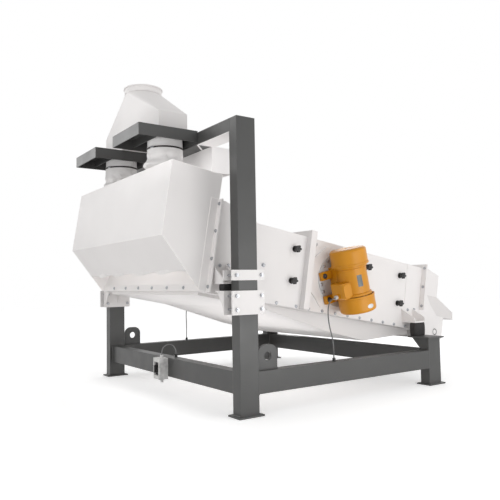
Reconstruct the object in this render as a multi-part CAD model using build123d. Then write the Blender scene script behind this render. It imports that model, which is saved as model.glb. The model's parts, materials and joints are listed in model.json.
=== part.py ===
"""Vibrating sieve on a fixed stand: two-motor separator with feed box, gantry and outlets."""
import os
from math import cos, pi, radians, sin, tan

from build123d import *

# Stand, in millimetres. X runs from the feed end to the discharge end, from the posts' front.
SECTION_X = 150.0
SECTION_Y = 90.0
TUBE_WALL = 6.0
STAND_LENGTH = 2060.0
SIDE_ROOM = 175.0
RAIL_BOTTOM = 140.0
RAIL_DEPTH = 150.0
CROSS_RAIL_WIDTH = 90.0
BEAM_DEPTH = 90.0
PLATE = 12.0
FOOT_OVERHANG = 25.0
ANCHOR_HOLE = 14.0
CAP_ROOM = 70.0
CAP_GUSSET_DROP = 98.0
LUG_OFFSET = 102.0
LUG_WIDTH = 160.0
LUG_HEIGHT = 170.0
LUG_SHEET = 20.0
LUG_EYE = 60.0
LUG_EYE_RISE = 92.0
LUG_ROUND = 60.0

# Gantry: arms, hood, distribution chute, inlet pipes and their sleeves.
ARM_REACH = 470.0
ARM_WIDTH = 480.0
ARM_DEPTH = 85.0
ARM_SHEET = 5.0
ARM_RISE = 10.0
ARM_RIB_BACK = 170.0
ARM_RIB_DEPTH = 65.0
HOOD_SETBACK = 122.0
HOOD_DEPTH = 175.0
HOOD_HEIGHT = 198.0
CHUTE_GAP = 13.0
CHUTE_DEPTH = 236.0
CHUTE_WIDTH = 1060.0
CHUTE_BOX = 155.0
CHUTE_NECK = 273.0
CHUTE_LIP = 14.0
COLLAR_BORE = 284.0
COLLAR_WALL = 8.0
COLLAR_HEIGHT = 48.0
COLLAR_BEAD = 8.0
INLET_Y = 424.0
PIPE_D = 264.0
PIPE_WALL = 4.0
PIPE_SETBACK = 16.0
PIPE_DROP = 57.0
SLEEVE_GAP = 141.0
SLEEVE_LAP = 44.0
SLEEVE_CLOTH = 2.4
SLEEVE_EASE = 0.6
BAND_WIDTH = 12.0
BAND_SHEET = 3.0

# Sieve body: u along the deck, v square to the deck, both from the pivot over the posts' front.
INCLINE = 10.0
PIVOT_Z = 1000.0
BODY_WIDTH = 1830.0
WALL = 6.0
SHEET = 4.0
BODY_START = -57.0
TAIL_OVERHANG = 144.5
WALL_BOTTOM = -190.0
WALL_TOP = 372.0
SHOULDER_TOP = 465.0
SHOULDER_START = 0.0
SHOULDER_END = 300.0
FLANGE = 7.0
FEED_FLANGE = 45.0
TAIL_FLANGE = 53.0
FEED_ANGLE = 67.0
FEED_ANGLE_SHEET = 4.0
TAIL_PLATE = 208.0
TAIL_PLATE_SHEET = 3.0
RIB_WIDTH = 57.0
RIB_DEPTH = 50.0
RIB_SHEET = 5.0
RIB_GAP = 23.0
FEED_DEPTH = 403.0
FEED_TOP = 645.0
FEED_KNEE = 128.0
KNEE_SETBACK = 6.0
TIP_SETBACK = 56.0
PANEL_RUN = 291.0
FLAP_LAP = 37.0
FLAP_DROP = 14.0
FLAP_CLOTH = 3.0
SPIGOT_HEIGHT = 45.0
STRIP_SETBACK = 41.0
STRIP_HEIGHT = 50.0
RAMP_TOP = -20.0
PAN_LEDGE = 115.0
PAN_LIP = 22.0
PAN_SLOPE_START = 500.0
PAN_SLOPE_V = -226.0
HOPPER_START = 1190.0
HOPPER_START_V = -323.0
HOPPER_LOW = 1610.0
HOPPER_LOW_V = -354.0
HOPPER_END = 2030.0
HOPPER_END_V = -262.0
PAN_END_V = -240.0

# Discharge end, measured along the deck from the end of the body.
TAIL_MARGIN = 10.0
TAIL_TOP = 405.0
TAIL_FRONT = 253.0
TAIL_FRONT_TOP = 343.0
TAIL_SILL = -10.0
THROAT_BACK = 108.0
THROAT_FRONT = 247.0
THROAT_V = 140.0
ELBOW = 162.0
ELBOW_V = 60.0
LEDGE = 267.0
LEDGE_V = -31.0
OVERS_REACH = 508.0
OVERS_FLOOR_V = -38.0
OVERS_MOUTH = 69.0
OVERS_RAKE = 12.0
OUTLET_FRONT = 362.0
OUTLET_BOTTOM = -240.0
SAMPLE_HOLE = 60.0
SAMPLE_SETBACK = 110.0
SAMPLE_RISE = 60.0
SAMPLE_RIM = 8.0

# Screens and their star knobs.
SCREEN_DEPTH = 40.0
SCREEN_PLATE = 2.0
SCREEN_FRAME = 40.0
SCREEN_BAR = 30.0
SCREEN_BARS = 4
SCREEN_END_GAP = 48.0
SCREEN_BELOW_KNOB = 125.0
KNOB_UPPER_V = 253.0
KNOB_LOWER_V = 8.0
KNOB_FEED_U = 666.0
KNOB_MOUNT_GAP = 25.0
KNOB_TAIL_GAP = 296.0
KNOB_D = 56.0
KNOB_LOBES = 5
KNOB_WAIST = 19.0
KNOB_DEPTH = 26.0
KNOB_STEM_D = 22.0
KNOB_STEM = 20.0
KNOB_WASHER_D = 48.0
KNOB_WASHER = 4.0
KNOB_CLEAR = 0.3

# Vibration motors, axis of the shaft along local Z.
MOTOR_LEAN = 12.4
MOTOR_U = 1140.5
MOTOR_LENGTH = 500.0
COVER_D = 285.0
COVER_LENGTH = 130.0
COVER_SHEET = 6.0
COVER_ROUND = 22.0
COVER_BEAD = 4.0
COVER_BEAD_WIDTH = 14.0
WAIST_D = 236.0
WAIST_WALL = 14.0
BEARING_WALL = 20.0
SADDLE_WIDTH = 184.0
MOTOR_HEIGHT = 155.0
MOTOR_FOOT = 400.0
MOTOR_FOOT_WIDTH = 64.0
MOTOR_FOOT_SHEET = 30.0
MOTOR_FOOT_UPPER = 70.0
MOTOR_FOOT_LOWER = -119.0
MOTOR_FOOT_INSET = 32.0
TERMINAL_WIDTH = 132.0
TERMINAL_HEIGHT = 122.0
TERMINAL_REACH = 186.0
TERMINAL_DROP = 57.0
TERMINAL_ROUND = 10.0
MOTOR_GLAND_D = 28.0
MOTOR_GLAND = 32.0
MOTOR_GLAND_DROP = 92.0
SHAFT_D = 60.0
SHAFT_CLEAR = 0.05
SHAFT_END_GAP = 15.0
CORE_D = 180.0
CORE_LENGTH = 170.0
WEIGHT_D = 236.0
WEIGHT_HUB = 92.0
WEIGHT_LENGTH = 60.0
WEIGHT_PLACE = 178.0
MOUNT_WIDTH = 570.0
MOUNT_HEIGHT = 484.0
MOUNT_CORNER = 120.0
MOUNT_RISE = 38.0
MOUNT_PLATE = 8.0
DISC_D = 428.0
DISC_PLATE = 7.0
DISC_BOLT_INSET = 22.0
DISC_BOLT_TURNS = (3, 47, 65, 115, 133, 177, 195, 258, 282, 345)

# Springs, brackets and post clamps.
FRONT_SEAT_X = 15.0
FRONT_SEAT_V = -120.5
REAR_SEAT_SHIFT = 18.0
REAR_SEAT_V = -136.1
SEAT_GAP = 16.0
SEAT_PLATE = 12.0
BRACKET_SHEET = 8.0
BRACKET_WEB = 10.0
BRACKET_LUG = 25.0
BRACKET_NOSE = 28.0
FRONT_BRACKET = 120.0
FRONT_BRACKET_HEIGHT = 141.0
REAR_BRACKET = 145.0
REAR_BRACKET_HEIGHT = 117.0
RUBBER_DEPTH = 66.0
RUBBER_MARGIN = 5.0
FRONT_RUBBER = 46.0
REAR_RUBBER = 115.0
CLAMP_FRONT = 60.0
CLAMP_BACK = 50.0
CLAMP_SHEET = 12.0
CLAMP_LOWER = 159.0
CLAMP_SPACE = 68.0
CLAMP_UPPER = 69.0
CLAMP_BOLT_D = 16.0
CLAMP_BOLT_INSET = 24.0
CLAMP_BOLT_ROWS = (34, 124)
CLAMP_NUT = 24.0
CLAMP_NUT_DEPTH = 12.0
CLAMP_BOLT_TIP = 4.0
SHELF_ROOM = 65.0
SHELF_LENGTH = 150.0
SHELF_SHEET = 10.0
SHELF_WEB = 8.0
SHELF_WEB_DROP = 119.0

# Bolt heads on the body.
BOLT_HEAD = 19.0
BOLT_DEPTH = 9.0
BIG_BOLT_HEAD = 24.0
BIG_BOLT_DEPTH = 12.0
FOOT_BOLT_HEAD = 30.0
FOOT_BOLT_DEPTH = 16.0
BOLT_EDGE = 12.0
BOLT_MARGIN = 35.0
FEED_ROW_BOLT_COUNT = 4
TAIL_ROW_BOLT_COUNT = 9
FLANGE_BOLT_COUNT = 4
TAIL_BOLT_COUNT = 3
STRIP_BOLT_COUNT = 6
PIVOT_BOLT_U = 388.0
PIVOT_BOLT_V = 78.0
RIB_BOLT_V = 330.0

# Isolator switch and cables.
SWITCH_Y = -34.0
SWITCH_WIDTH = 112.0
SWITCH_HEIGHT = 170.0
SWITCH_REACH = 75.0
SWITCH_BELOW_RAIL = 22.0
SWITCH_BORDER_SIDE = 20.0
SWITCH_BORDER_END = 34.0
SWITCH_RECESS = 12.0
SWITCH_GLAND_D = 26.0
SWITCH_GLAND = 24.0
SWITCH_GLAND_SIDE = 20.0
SWITCH_GLAND_BACK = 38.0
HANDLE_D = 60.0
HANDLE_DEPTH = 18.0
HANDLE_CLEAR = 0.3
GRIP_WIDTH = 16.0
GRIP_DEPTH = 15.0
CABLE_D = 9.0
CABLE_X = 870.0
CABLE_EXIT = 56.0
CABLE_HANG = ((860.0, -1094.0, 676.0), (850.0, -1108.0, 572.0), (868.0, -1130.0, 452.0))
SWITCH_CABLE_BACK = 74.0
SWITCH_CABLE_SIDE = 34.0
SWITCH_CABLE_ENTRY = 38.0
SWITCH_CABLE_LOOP = ((0.0, 0.0, 44.0), (38.0, -12.0, 84.0), (86.0, -26.0, 78.0))
RAIL_GLAND_D = 24.0
RAIL_GLAND = 24.0

SIN = sin(radians(INCLINE))
COS = cos(radians(INCLINE))
BODY = Pos(0, 0, PIVOT_Z) * Rot(0, INCLINE, 0)


def z_at(x, v):
    """Height of the deck line v above the floor, over the place x."""
    return PIVOT_Z + (v - x * SIN) / COS


half_width = BODY_WIDTH / 2
inner_y = half_width - WALL
in_y = half_width + SIDE_ROOM
out_y = in_y + SECTION_Y
mid_y = (in_y + out_y) / 2
rail_top = RAIL_BOTTOM + RAIL_DEPTH
leg_x = STAND_LENGTH - SECTION_X
rear_seat_x = leg_x + SECTION_X / 2 - REAR_SEAT_SHIFT
front_seat_z = z_at(FRONT_SEAT_X, FRONT_SEAT_V)
rear_seat_z = z_at(rear_seat_x, REAR_SEAT_V)
shelf_top = front_seat_z - FRONT_RUBBER
leg_top = rear_seat_z - REAR_RUBBER
body_end = (rear_seat_x + TAIL_OVERHANG - REAR_SEAT_V * SIN) / COS
feed_front = BODY_START - FEED_DEPTH

# The gantry stands as high as the pipes over the feed box need.
inlet_x = -PIPE_D / 2 - PIPE_SETBACK
spigot_v = FEED_TOP + SPIGOT_HEIGHT
spigot_u = (inlet_x - spigot_v * SIN) / COS
pipe_bottom = z_at(inlet_x, spigot_v) + SLEEVE_GAP
arm_bottom = pipe_bottom + PIPE_DROP
arm_top = arm_bottom + ARM_DEPTH
post_height = arm_top - ARM_RISE
beam_bottom = post_height - BEAM_DEPTH

ORIGIN = Pos(-STAND_LENGTH / 2, 0, 0)
nodes = {}


def block(x0, x1, y0, y1, z0, z1):
    centre = Pos((x0 + x1) / 2, (y0 + y1) / 2, (z0 + z1) / 2)
    return centre * Box(x1 - x0, y1 - y0, z1 - z0)


def side_prism(points, y0, y1):
    """Outline in X and Z, run along Y."""
    plane = Plane(origin=(0, y1, 0), x_dir=(1, 0, 0), z_dir=(0, -1, 0))
    return extrude(plane * Polygon(*points, align=None), amount=y1 - y0, dir=(0, -1, 0))


def front_prism(points, x0, x1):
    """Outline in Y and Z, run along X."""
    plane = Plane(origin=(x0, 0, 0), x_dir=(0, 1, 0), z_dir=(1, 0, 0))
    return extrude(plane * Polygon(*points, align=None), amount=x1 - x0, dir=(1, 0, 0))


def rod_y(x, z, diameter, y0, y1):
    return Pos(x, (y0 + y1) / 2, z) * Rot(90, 0, 0) * Cylinder(diameter / 2, y1 - y0)


def hex_y(x, z, across, y0, y1):
    face = RegularPolygon(across / 2, 6, major_radius=False)
    return Pos(x, y1, z) * Rot(90, 0, 0) * extrude(face, amount=y1 - y0, dir=(0, 0, 1))


def hex_x(y, z, across, x0, x1):
    face = RegularPolygon(across / 2, 6, major_radius=False)
    return Pos(x0, y, z) * Rot(0, 90, 0) * extrude(face, amount=x1 - x0, dir=(0, 0, 1))


def ring(outer, inner, height):
    return Cylinder(outer / 2, height) - Cylinder(inner / 2, height)


def flip(shape):
    return mirror(shape, about=Plane.XZ)


def both(shape):
    return Compound([shape, flip(shape)])


def spread(first, last, count):
    step = (last - first) / (count - 1)
    return [first + step * k for k in range(count)]


def add(name, shape):
    nodes[name] = ORIGIN * shape


def add_pair(name, shape):
    add(name + "_right", shape)
    add(name + "_left", flip(shape))


def outward(a, b):
    """Unit normal of one side of an anticlockwise outline."""
    along = (b - a).normalized()
    return Vector(along.Y, -along.X)


def inset(points, gap):
    """Moves every side of an anticlockwise outline inwards by the gap."""
    moved = []
    for k, here in enumerate(points):
        before = outward(points[k - 1], here)
        after = outward(here, points[(k + 1) % len(points)])
        moved.append(here - (before + after) * (gap / (1 + before.dot(after))))
    return moved


def pairs(points):
    return [(p.X, p.Y) for p in points]


def sheet_box(outline, half_y, open_sides):
    """Sheet-metal box of one side outline, with some of its sides left open."""
    points = [Vector(*p) for p in outline]
    inside = inset(points, SHEET)
    beyond = inset(points, -SHEET)
    core_y = half_y - SHEET
    box = side_prism(outline, -half_y, half_y) - side_prism(pairs(inside), -core_y, core_y)
    count = len(points)
    for k in open_sides:
        nxt = (k + 1) % count
        out = outward(points[k], points[nxt]) * (2 * SHEET)
        start = beyond[k] if (k - 1) % count in open_sides else inside[k] + out
        end = beyond[nxt] if nxt in open_sides else inside[nxt] + out
        box = box - side_prism(pairs([inside[k], start, end, inside[nxt]]), -core_y, core_y)
    return box


# Posts and rear legs, each with its foot plate and anchor holes.
def foot(x0):
    x1 = x0 + SECTION_X
    plate = block(
        x0 - FOOT_OVERHANG, x1 + FOOT_OVERHANG, -out_y - FOOT_OVERHANG, -in_y + FOOT_OVERHANG,
        0, PLATE,
    )
    edge = FOOT_OVERHANG / 2
    for x in (x0 - edge, x1 + edge):
        for y in (-out_y - edge, -in_y + edge):
            plate = plate - Pos(x, y, PLATE / 2) * Cylinder(ANCHOR_HOLE / 2, PLATE)
    return plate


def upright(x0, top):
    t = TUBE_WALL
    outer = block(x0, x0 + SECTION_X, -out_y, -in_y, PLATE, top)
    return outer - block(
        x0 + t, x0 + SECTION_X - t, -out_y + t, -in_y - t, PLATE, top - t,
    )


add_pair("post", foot(0) + upright(0, post_height))

cap_edge = half_width + CAP_ROOM
cap_under = leg_top - PLATE
cap = block(
    leg_x - FOOT_OVERHANG, STAND_LENGTH + FOOT_OVERHANG, -out_y - FOOT_OVERHANG, -cap_edge,
    cap_under, leg_top,
)
cap_gusset = [
    (-in_y, cap_under), (-in_y, cap_under - CAP_GUSSET_DROP), (-cap_edge - PLATE, cap_under),
]
leg = foot(leg_x) + upright(leg_x, cap_under) + cap
for x in (leg_x + PLATE, STAND_LENGTH - 2 * PLATE):
    leg = leg + front_prism(cap_gusset, x, x + PLATE)
add_pair("rear_leg", leg)


# Rails and top beam, plain rectangular tubes.
def rail_along_y(x0, x1, z0, z1):
    t = TUBE_WALL
    outer = block(x0, x1, -in_y, in_y, z0, z1)
    return outer - block(x0 + t, x1 - t, -in_y, in_y, z0 + t, z1 - t)


side_rail = block(SECTION_X, leg_x, -out_y, -in_y, RAIL_BOTTOM, rail_top)
side_rail = side_rail - block(
    SECTION_X, leg_x, -out_y + TUBE_WALL, -in_y - TUBE_WALL,
    RAIL_BOTTOM + TUBE_WALL, rail_top - TUBE_WALL,
)
add_pair("side_rail", side_rail)
rail_x0 = (SECTION_X - CROSS_RAIL_WIDTH) / 2
rail_x1 = rail_x0 + CROSS_RAIL_WIDTH
add("front_rail", rail_along_y(rail_x0, rail_x1, RAIL_BOTTOM, rail_top))
add("rear_rail", rail_along_y(leg_x + rail_x0, leg_x + rail_x1, RAIL_BOTTOM, rail_top))
add("top_beam", rail_along_y(0, SECTION_X, beam_bottom, post_height))

# Lifting lugs on the side rails.
lug_x = SECTION_X + LUG_OFFSET
lug = block(
    lug_x - LUG_WIDTH / 2, lug_x + LUG_WIDTH / 2, -mid_y - LUG_SHEET / 2, -mid_y + LUG_SHEET / 2,
    rail_top, rail_top + LUG_HEIGHT,
)
lug = fillet(lug.edges().filter_by(Axis.Y).group_by(Axis.Z)[-1], LUG_ROUND)
lug = lug - rod_y(lug_x, rail_top + LUG_EYE_RISE, LUG_EYE, -out_y, -in_y)
add("lifting_lugs", both(lug))

# Gantry arms: folded trays, open below, with one cross rib each.
arm_y0 = -INLET_Y - ARM_WIDTH / 2
arm_y1 = -INLET_Y + ARM_WIDTH / 2
arm = block(-ARM_REACH, 0, arm_y0, arm_y1, arm_bottom, arm_top)
arm = arm - block(
    -ARM_REACH + ARM_SHEET, -ARM_SHEET, arm_y0 + ARM_SHEET, arm_y1 - ARM_SHEET,
    arm_bottom, arm_top - ARM_SHEET,
)
arm_rib = ARM_RIB_BACK - ARM_REACH
arm = arm + block(arm_rib, arm_rib + ARM_SHEET, arm_y0, arm_y1, arm_top - ARM_RIB_DEPTH, arm_top)
arm = arm - Pos(inlet_x, -INLET_Y, arm_top) * Cylinder(PIPE_D / 2, ARM_DEPTH)
add_pair("arm", arm)

# Fixed hood under the beam's back, as wide as the arms, with cover plates out to the posts.
hood_front = HOOD_SETBACK
hood_back = hood_front + HOOD_DEPTH
hood_half = INLET_Y + ARM_WIDTH / 2
hood_low = beam_bottom - HOOD_HEIGHT
hood = block(hood_front, hood_back, -hood_half, hood_half, hood_low, beam_bottom)
hood = hood - block(
    hood_front + SHEET, hood_back - SHEET, -hood_half + SHEET, hood_half - SHEET,
    hood_low, beam_bottom - SHEET,
)
for y0, y1 in ((-in_y, -hood_half), (hood_half, in_y)):
    hood = hood + block(0, SECTION_X, y0, y1, beam_bottom - SHEET, beam_bottom)
add("beam_hood", hood)

# Distribution chute: a box on the arms, drawn in square-to-round up to the collar.
chute_x = -CHUTE_GAP - CHUTE_DEPTH / 2
chute_knee = arm_top + CHUTE_BOX
neck_top = chute_knee + CHUTE_NECK
NECK_STEPS = 8


def neck_solid(gap):
    """Flat sides on the box edges and a fan of narrow facets from each corner to the round."""
    wide = CHUTE_DEPTH / 2 - gap
    deep = CHUTE_WIDTH / 2 - gap
    radius = COLLAR_BORE / 2 + SHEET - gap
    corners = [(wide, deep), (-wide, deep), (-wide, -deep), (wide, -deep)]
    corners = [Vector(chute_x + x, y, chute_knee) for x, y in corners]
    rim = []
    for k in range(4 * NECK_STEPS):
        a = 2 * pi * k / (4 * NECK_STEPS)
        rim.append(Vector(chute_x + radius * cos(a), radius * sin(a), neck_top))
    outlines = [corners, rim]
    for c in range(4):
        for k in range(c * NECK_STEPS, (c + 1) * NECK_STEPS):
            outlines.append([corners[c], rim[k], rim[(k + 1) % len(rim)]])
        meet = rim[(c + 1) * NECK_STEPS % len(rim)]
        outlines.append([corners[c], meet, corners[(c + 1) % 4]])
    faces = [Face(Wire.make_polygon(points)) for points in outlines]
    return Solid(Shell(faces))


def chute_form(gap):
    half_deep = CHUTE_WIDTH / 2 - gap
    x0 = chute_x - CHUTE_DEPTH / 2 + gap
    x1 = chute_x + CHUTE_DEPTH / 2 - gap
    return block(x0, x1, -half_deep, half_deep, arm_top + gap, chute_knee) + neck_solid(gap)


chute = chute_form(0) - chute_form(SHEET)
for y in (-INLET_Y, INLET_Y):
    chute = chute - Pos(chute_x, y, arm_top) * Cylinder(CHUTE_DEPTH / 2 - CHUTE_LIP, 3 * SHEET)
add("chute", chute)
collar_outer = COLLAR_BORE + 2 * COLLAR_WALL
collar = Pos(chute_x, 0, neck_top + COLLAR_HEIGHT / 2) * ring(
    collar_outer, COLLAR_BORE, COLLAR_HEIGHT)
bead = ring(collar_outer + 2 * COLLAR_BEAD, COLLAR_BORE, COLLAR_BEAD)
collar = collar + Pos(chute_x, 0, neck_top + COLLAR_HEIGHT - COLLAR_BEAD / 2) * bead
add("chute_collar", collar)

pipe_length = arm_top - pipe_bottom
pipe = ring(PIPE_D, PIPE_D - 2 * PIPE_WALL, pipe_length)
add_pair("inlet_pipe", Pos(inlet_x, -INLET_Y, pipe_bottom + pipe_length / 2) * pipe)


# Cloth sleeves between the pipes and the feed box spigots, with their bands.
def sleeve_form(radius, over):
    def tilted(v):
        return BODY * Pos(spigot_u, -INLET_Y, v) * Circle(radius)

    def level(z):
        return Pos(inlet_x, -INLET_Y, z) * Circle(radius)

    cuff = FEED_TOP + 2 * SHEET - over
    low = loft([tilted(cuff), tilted(spigot_v - SLEEVE_CLOTH)])
    middle = loft([tilted(spigot_v - SLEEVE_CLOTH), level(pipe_bottom + SLEEVE_CLOTH)])
    high = loft([level(pipe_bottom + SLEEVE_CLOTH), level(pipe_bottom + SLEEVE_LAP + over)])
    return low + middle + high


sleeve_inner = PIPE_D / 2 + SLEEVE_EASE
sleeve_outer = sleeve_inner + SLEEVE_CLOTH
sleeve = sleeve_form(sleeve_outer, 0) - sleeve_form(sleeve_inner, SHEET)
add_pair("sleeve", sleeve)
band = ring(2 * (sleeve_outer + BAND_SHEET), 2 * sleeve_outer, BAND_WIDTH)
add("sleeve_bands", both(Pos(inlet_x, -INLET_Y, pipe_bottom + SLEEVE_LAP / 2 + BAND_WIDTH / 2) * band))

# Post clamps: plate pairs round each post, and the shelf for the front spring.
clamp_x0 = -CLAMP_FRONT
clamp_x1 = SECTION_X + CLAMP_BACK
shelf_y = half_width + SHELF_ROOM
web_y = in_y - CLAMP_SHEET


def clamp_plates(z0, z1):
    outer = block(clamp_x0, clamp_x1, -out_y - CLAMP_SHEET, -out_y, z0, z1)
    return outer + block(clamp_x0, clamp_x1, -in_y, -web_y, z0, z1)


upper_clamp = shelf_top + CLAMP_SPACE
clamp = clamp_plates(upper_clamp, upper_clamp + CLAMP_UPPER)
clamp = clamp + clamp_plates(shelf_top - CLAMP_LOWER, shelf_top)
shelf_under = shelf_top - SHELF_SHEET
clamp = clamp + block(
    clamp_x0, clamp_x0 + SHELF_LENGTH, -web_y, -shelf_y, shelf_under, shelf_top)
shelf_web = [
    (-web_y, shelf_under), (-web_y, shelf_under - SHELF_WEB_DROP), (-shelf_y - SHELF_SHEET, shelf_under),
]
for x in (clamp_x0 + SHELF_SHEET, clamp_x0 + SHELF_LENGTH - SHELF_SHEET - SHELF_WEB):
    clamp = clamp + front_prism(shelf_web, x, x + SHELF_WEB)
clamp_rows = [upper_clamp + CLAMP_UPPER / 2] + [shelf_top - drop for drop in CLAMP_BOLT_ROWS]
clamp_bolts = []
for z in clamp_rows:
    for x in (-CLAMP_BOLT_INSET, SECTION_X + CLAMP_BOLT_INSET):
        outer_face = -out_y - CLAMP_SHEET
        tips = (outer_face - CLAMP_NUT_DEPTH - CLAMP_BOLT_TIP, -web_y + CLAMP_NUT_DEPTH + CLAMP_BOLT_TIP)
        bolt = rod_y(x, z, CLAMP_BOLT_D, *tips)
        clamp = clamp - bolt
        bolt = bolt + hex_y(x, z, CLAMP_NUT, outer_face - CLAMP_NUT_DEPTH, outer_face)
        bolt = bolt + hex_y(x, z, CLAMP_NUT, -web_y, -web_y + CLAMP_NUT_DEPTH)
        clamp_bolts.append(both(bolt))
add_pair("clamp", clamp)
add("clamp_bolts", Compound(clamp_bolts))

# Rubber springs: low blocks on the shelves, tall blocks on the rear legs.
seat_y = web_y - SEAT_GAP
rubber_y0 = -seat_y + RUBBER_MARGIN
rubber_y1 = rubber_y0 + RUBBER_DEPTH


def rubber(x, width, z0, z1):
    half = width / 2 - RUBBER_MARGIN
    return both(block(x - half, x + half, rubber_y0, rubber_y1, z0, z1))


add("rubber_springs", Compound([
    rubber(FRONT_SEAT_X, FRONT_BRACKET, shelf_top, front_seat_z),
    rubber(rear_seat_x, REAR_BRACKET, leg_top, rear_seat_z),
]))

# Side walls with end flanges, upright rib and spring brackets.
mount_v = WALL_BOTTOM + MOUNT_RISE + MOUNT_HEIGHT / 2
rib_u1 = MOTOR_U - MOUNT_WIDTH / 2 - RIB_GAP
rib_u0 = rib_u1 - RIB_WIDTH
rib_top = WALL_TOP + RIB_DEPTH
wall_line = [
    (BODY_START, WALL_BOTTOM), (body_end, WALL_BOTTOM), (body_end, WALL_TOP),
    (SHOULDER_END, WALL_TOP), (SHOULDER_START, SHOULDER_TOP), (BODY_START, SHOULDER_TOP),
]
wall = side_prism(wall_line, -half_width, -inner_y)
wall = wall + block(
    BODY_START, BODY_START + FLANGE, -half_width - FEED_FLANGE, -half_width, WALL_BOTTOM, SHOULDER_TOP)
wall = wall + block(
    body_end - FLANGE, body_end, -half_width - TAIL_FLANGE, -inner_y, TAIL_SILL, TAIL_TOP)
tail_seam = body_end - TAIL_PLATE
wall = wall + block(
    tail_seam, body_end - FLANGE, -half_width - TAIL_PLATE_SHEET, -half_width, WALL_BOTTOM, WALL_TOP)
rib = block(rib_u0, rib_u1, -half_width - RIB_DEPTH, -half_width, WALL_BOTTOM, rib_top)
rib = rib + block(rib_u0, rib_u1, -half_width, -inner_y, WALL_TOP, rib_top)
rib = rib - block(
    rib_u0 + RIB_SHEET, rib_u1 - RIB_SHEET, -half_width - RIB_DEPTH + RIB_SHEET, -half_width,
    WALL_BOTTOM, rib_top - RIB_SHEET,
)
wall = BODY * (wall + rib)


def bracket(x, width, seat, height):
    x0 = x - width / 2
    x1 = x + width / 2
    back = -half_width - BRACKET_SHEET
    top = seat + height
    shelf = seat + SEAT_PLATE
    nose = -seat_y + BRACKET_SHEET
    piece = block(x0, x1, -seat_y, -half_width, seat, shelf)
    piece = piece + block(x0, x1 + BRACKET_LUG, back, -half_width, seat, top)
    web = [(back, shelf), (back, top - BRACKET_SHEET), (nose, shelf + BRACKET_NOSE), (nose, shelf)]
    for web_x in (x0, x1 - BRACKET_WEB):
        piece = piece + front_prism(web, web_x, web_x + BRACKET_WEB)
    return piece


wall = wall + bracket(FRONT_SEAT_X, FRONT_BRACKET, front_seat_z, FRONT_BRACKET_HEIGHT)
wall = wall + bracket(rear_seat_x, REAR_BRACKET, rear_seat_z, REAR_BRACKET_HEIGHT)
add_pair("side_wall", wall)

# Top cover between the walls, with the rib carried across.
cover_top = wall_line[2:]
cover_line = cover_top + [(u, v - SHEET) for u, v in reversed(cover_top)]
cover = side_prism(cover_line, -inner_y, inner_y)
cover = cover + block(rib_u0, rib_u1, -inner_y, inner_y, WALL_TOP, rib_top)
cover = cover - block(
    rib_u0 + RIB_SHEET, rib_u1 - RIB_SHEET, -inner_y, inner_y, WALL_TOP, rib_top - RIB_SHEET)
cover = cover + block(body_end - FLANGE, body_end, -inner_y, inner_y, WALL_TOP, TAIL_TOP)
add("top_cover", BODY * cover)

# Bottom pan with the fines hopper, hung under the walls.
pan_line = [
    (BODY_START, WALL_BOTTOM), (BODY_START, WALL_BOTTOM - PAN_LIP), (PAN_SLOPE_START, PAN_SLOPE_V),
    (HOPPER_START, HOPPER_START_V), (HOPPER_LOW, HOPPER_LOW_V), (HOPPER_END, HOPPER_END_V),
    (body_end, PAN_END_V), (body_end, WALL_BOTTOM),
]
pan_half = half_width - PAN_LEDGE
pan = sheet_box(pan_line, pan_half, [len(pan_line) - 1])
for y0, y1 in ((-half_width, -pan_half), (pan_half, half_width)):
    pan = pan + block(BODY_START, body_end, y0, y1, WALL_BOTTOM - SHEET, WALL_BOTTOM)
add("bottom_pan", BODY * pan)

# Feed box with its two spigots; the lower panel stops short and the box is open to the deck.
knee = Vector(feed_front + KNEE_SETBACK, FEED_KNEE)
tip = Vector(BODY_START - TIP_SETBACK, WALL_BOTTOM)
down_slope = (tip - knee).normalized()
slope_in = -outward(knee, tip)
panel_end = knee + down_slope * PANEL_RUN
feed_line = [
    (BODY_START, WALL_BOTTOM), (BODY_START, SHOULDER_TOP), (BODY_START, FEED_TOP),
    (feed_front, FEED_TOP), (knee.X, knee.Y), (panel_end.X, panel_end.Y), (tip.X, tip.Y),
]
feed = sheet_box(feed_line, half_width, [0, 5, 6])
for y0, y1 in ((-half_width - FEED_FLANGE, -half_width), (half_width, half_width + FEED_FLANGE)):
    feed = feed + block(BODY_START - FLANGE, BODY_START, y0, y1, WALL_BOTTOM, SHOULDER_TOP)
angle = side_prism(feed_line, -half_width - FEED_ANGLE_SHEET, -half_width)
angle = angle & block(
    BODY_START - FEED_ANGLE, BODY_START - FLANGE, -half_width - FEED_FLANGE, -half_width,
    WALL_BOTTOM, SHOULDER_TOP,
)
feed = feed + angle + flip(angle)
spigot_base = FEED_TOP - SHEET
spigot_length = spigot_v - spigot_base
for y in (-INLET_Y, INLET_Y):
    place = Pos(spigot_u, y, spigot_base + spigot_length / 2)
    feed = feed - place * Cylinder(PIPE_D / 2, spigot_length)
    feed = feed + place * ring(PIPE_D, PIPE_D - 2 * PIPE_WALL, spigot_length)
add("feed_box", BODY * feed)

# Cloth flap inside the lower panel, and the bolted front strip with its ramp to the deck.
cheek_y = half_width - SHEET
flap_line = []
for run, depth in (
    (PANEL_RUN - FLAP_LAP, SHEET), (PANEL_RUN + FLAP_DROP, SHEET),
    (PANEL_RUN + FLAP_DROP, SHEET + FLAP_CLOTH), (PANEL_RUN - FLAP_LAP, SHEET + FLAP_CLOTH),
):
    flap_line.append(knee + down_slope * run + slope_in * depth)
add("feed_flap", BODY * side_prism(pairs(flap_line), -cheek_y, cheek_y))
strip_u = BODY_START - STRIP_SETBACK
strip_top = WALL_BOTTOM + STRIP_HEIGHT
strip_line = [
    (strip_u, WALL_BOTTOM), (BODY_START, WALL_BOTTOM), (BODY_START, WALL_BOTTOM + SHEET),
    (strip_u + SHEET, WALL_BOTTOM + SHEET), (strip_u + SHEET, strip_top - SHEET),
    (BODY_START, RAMP_TOP - 2 * SHEET), (BODY_START, RAMP_TOP), (strip_u, strip_top),
]
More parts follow.
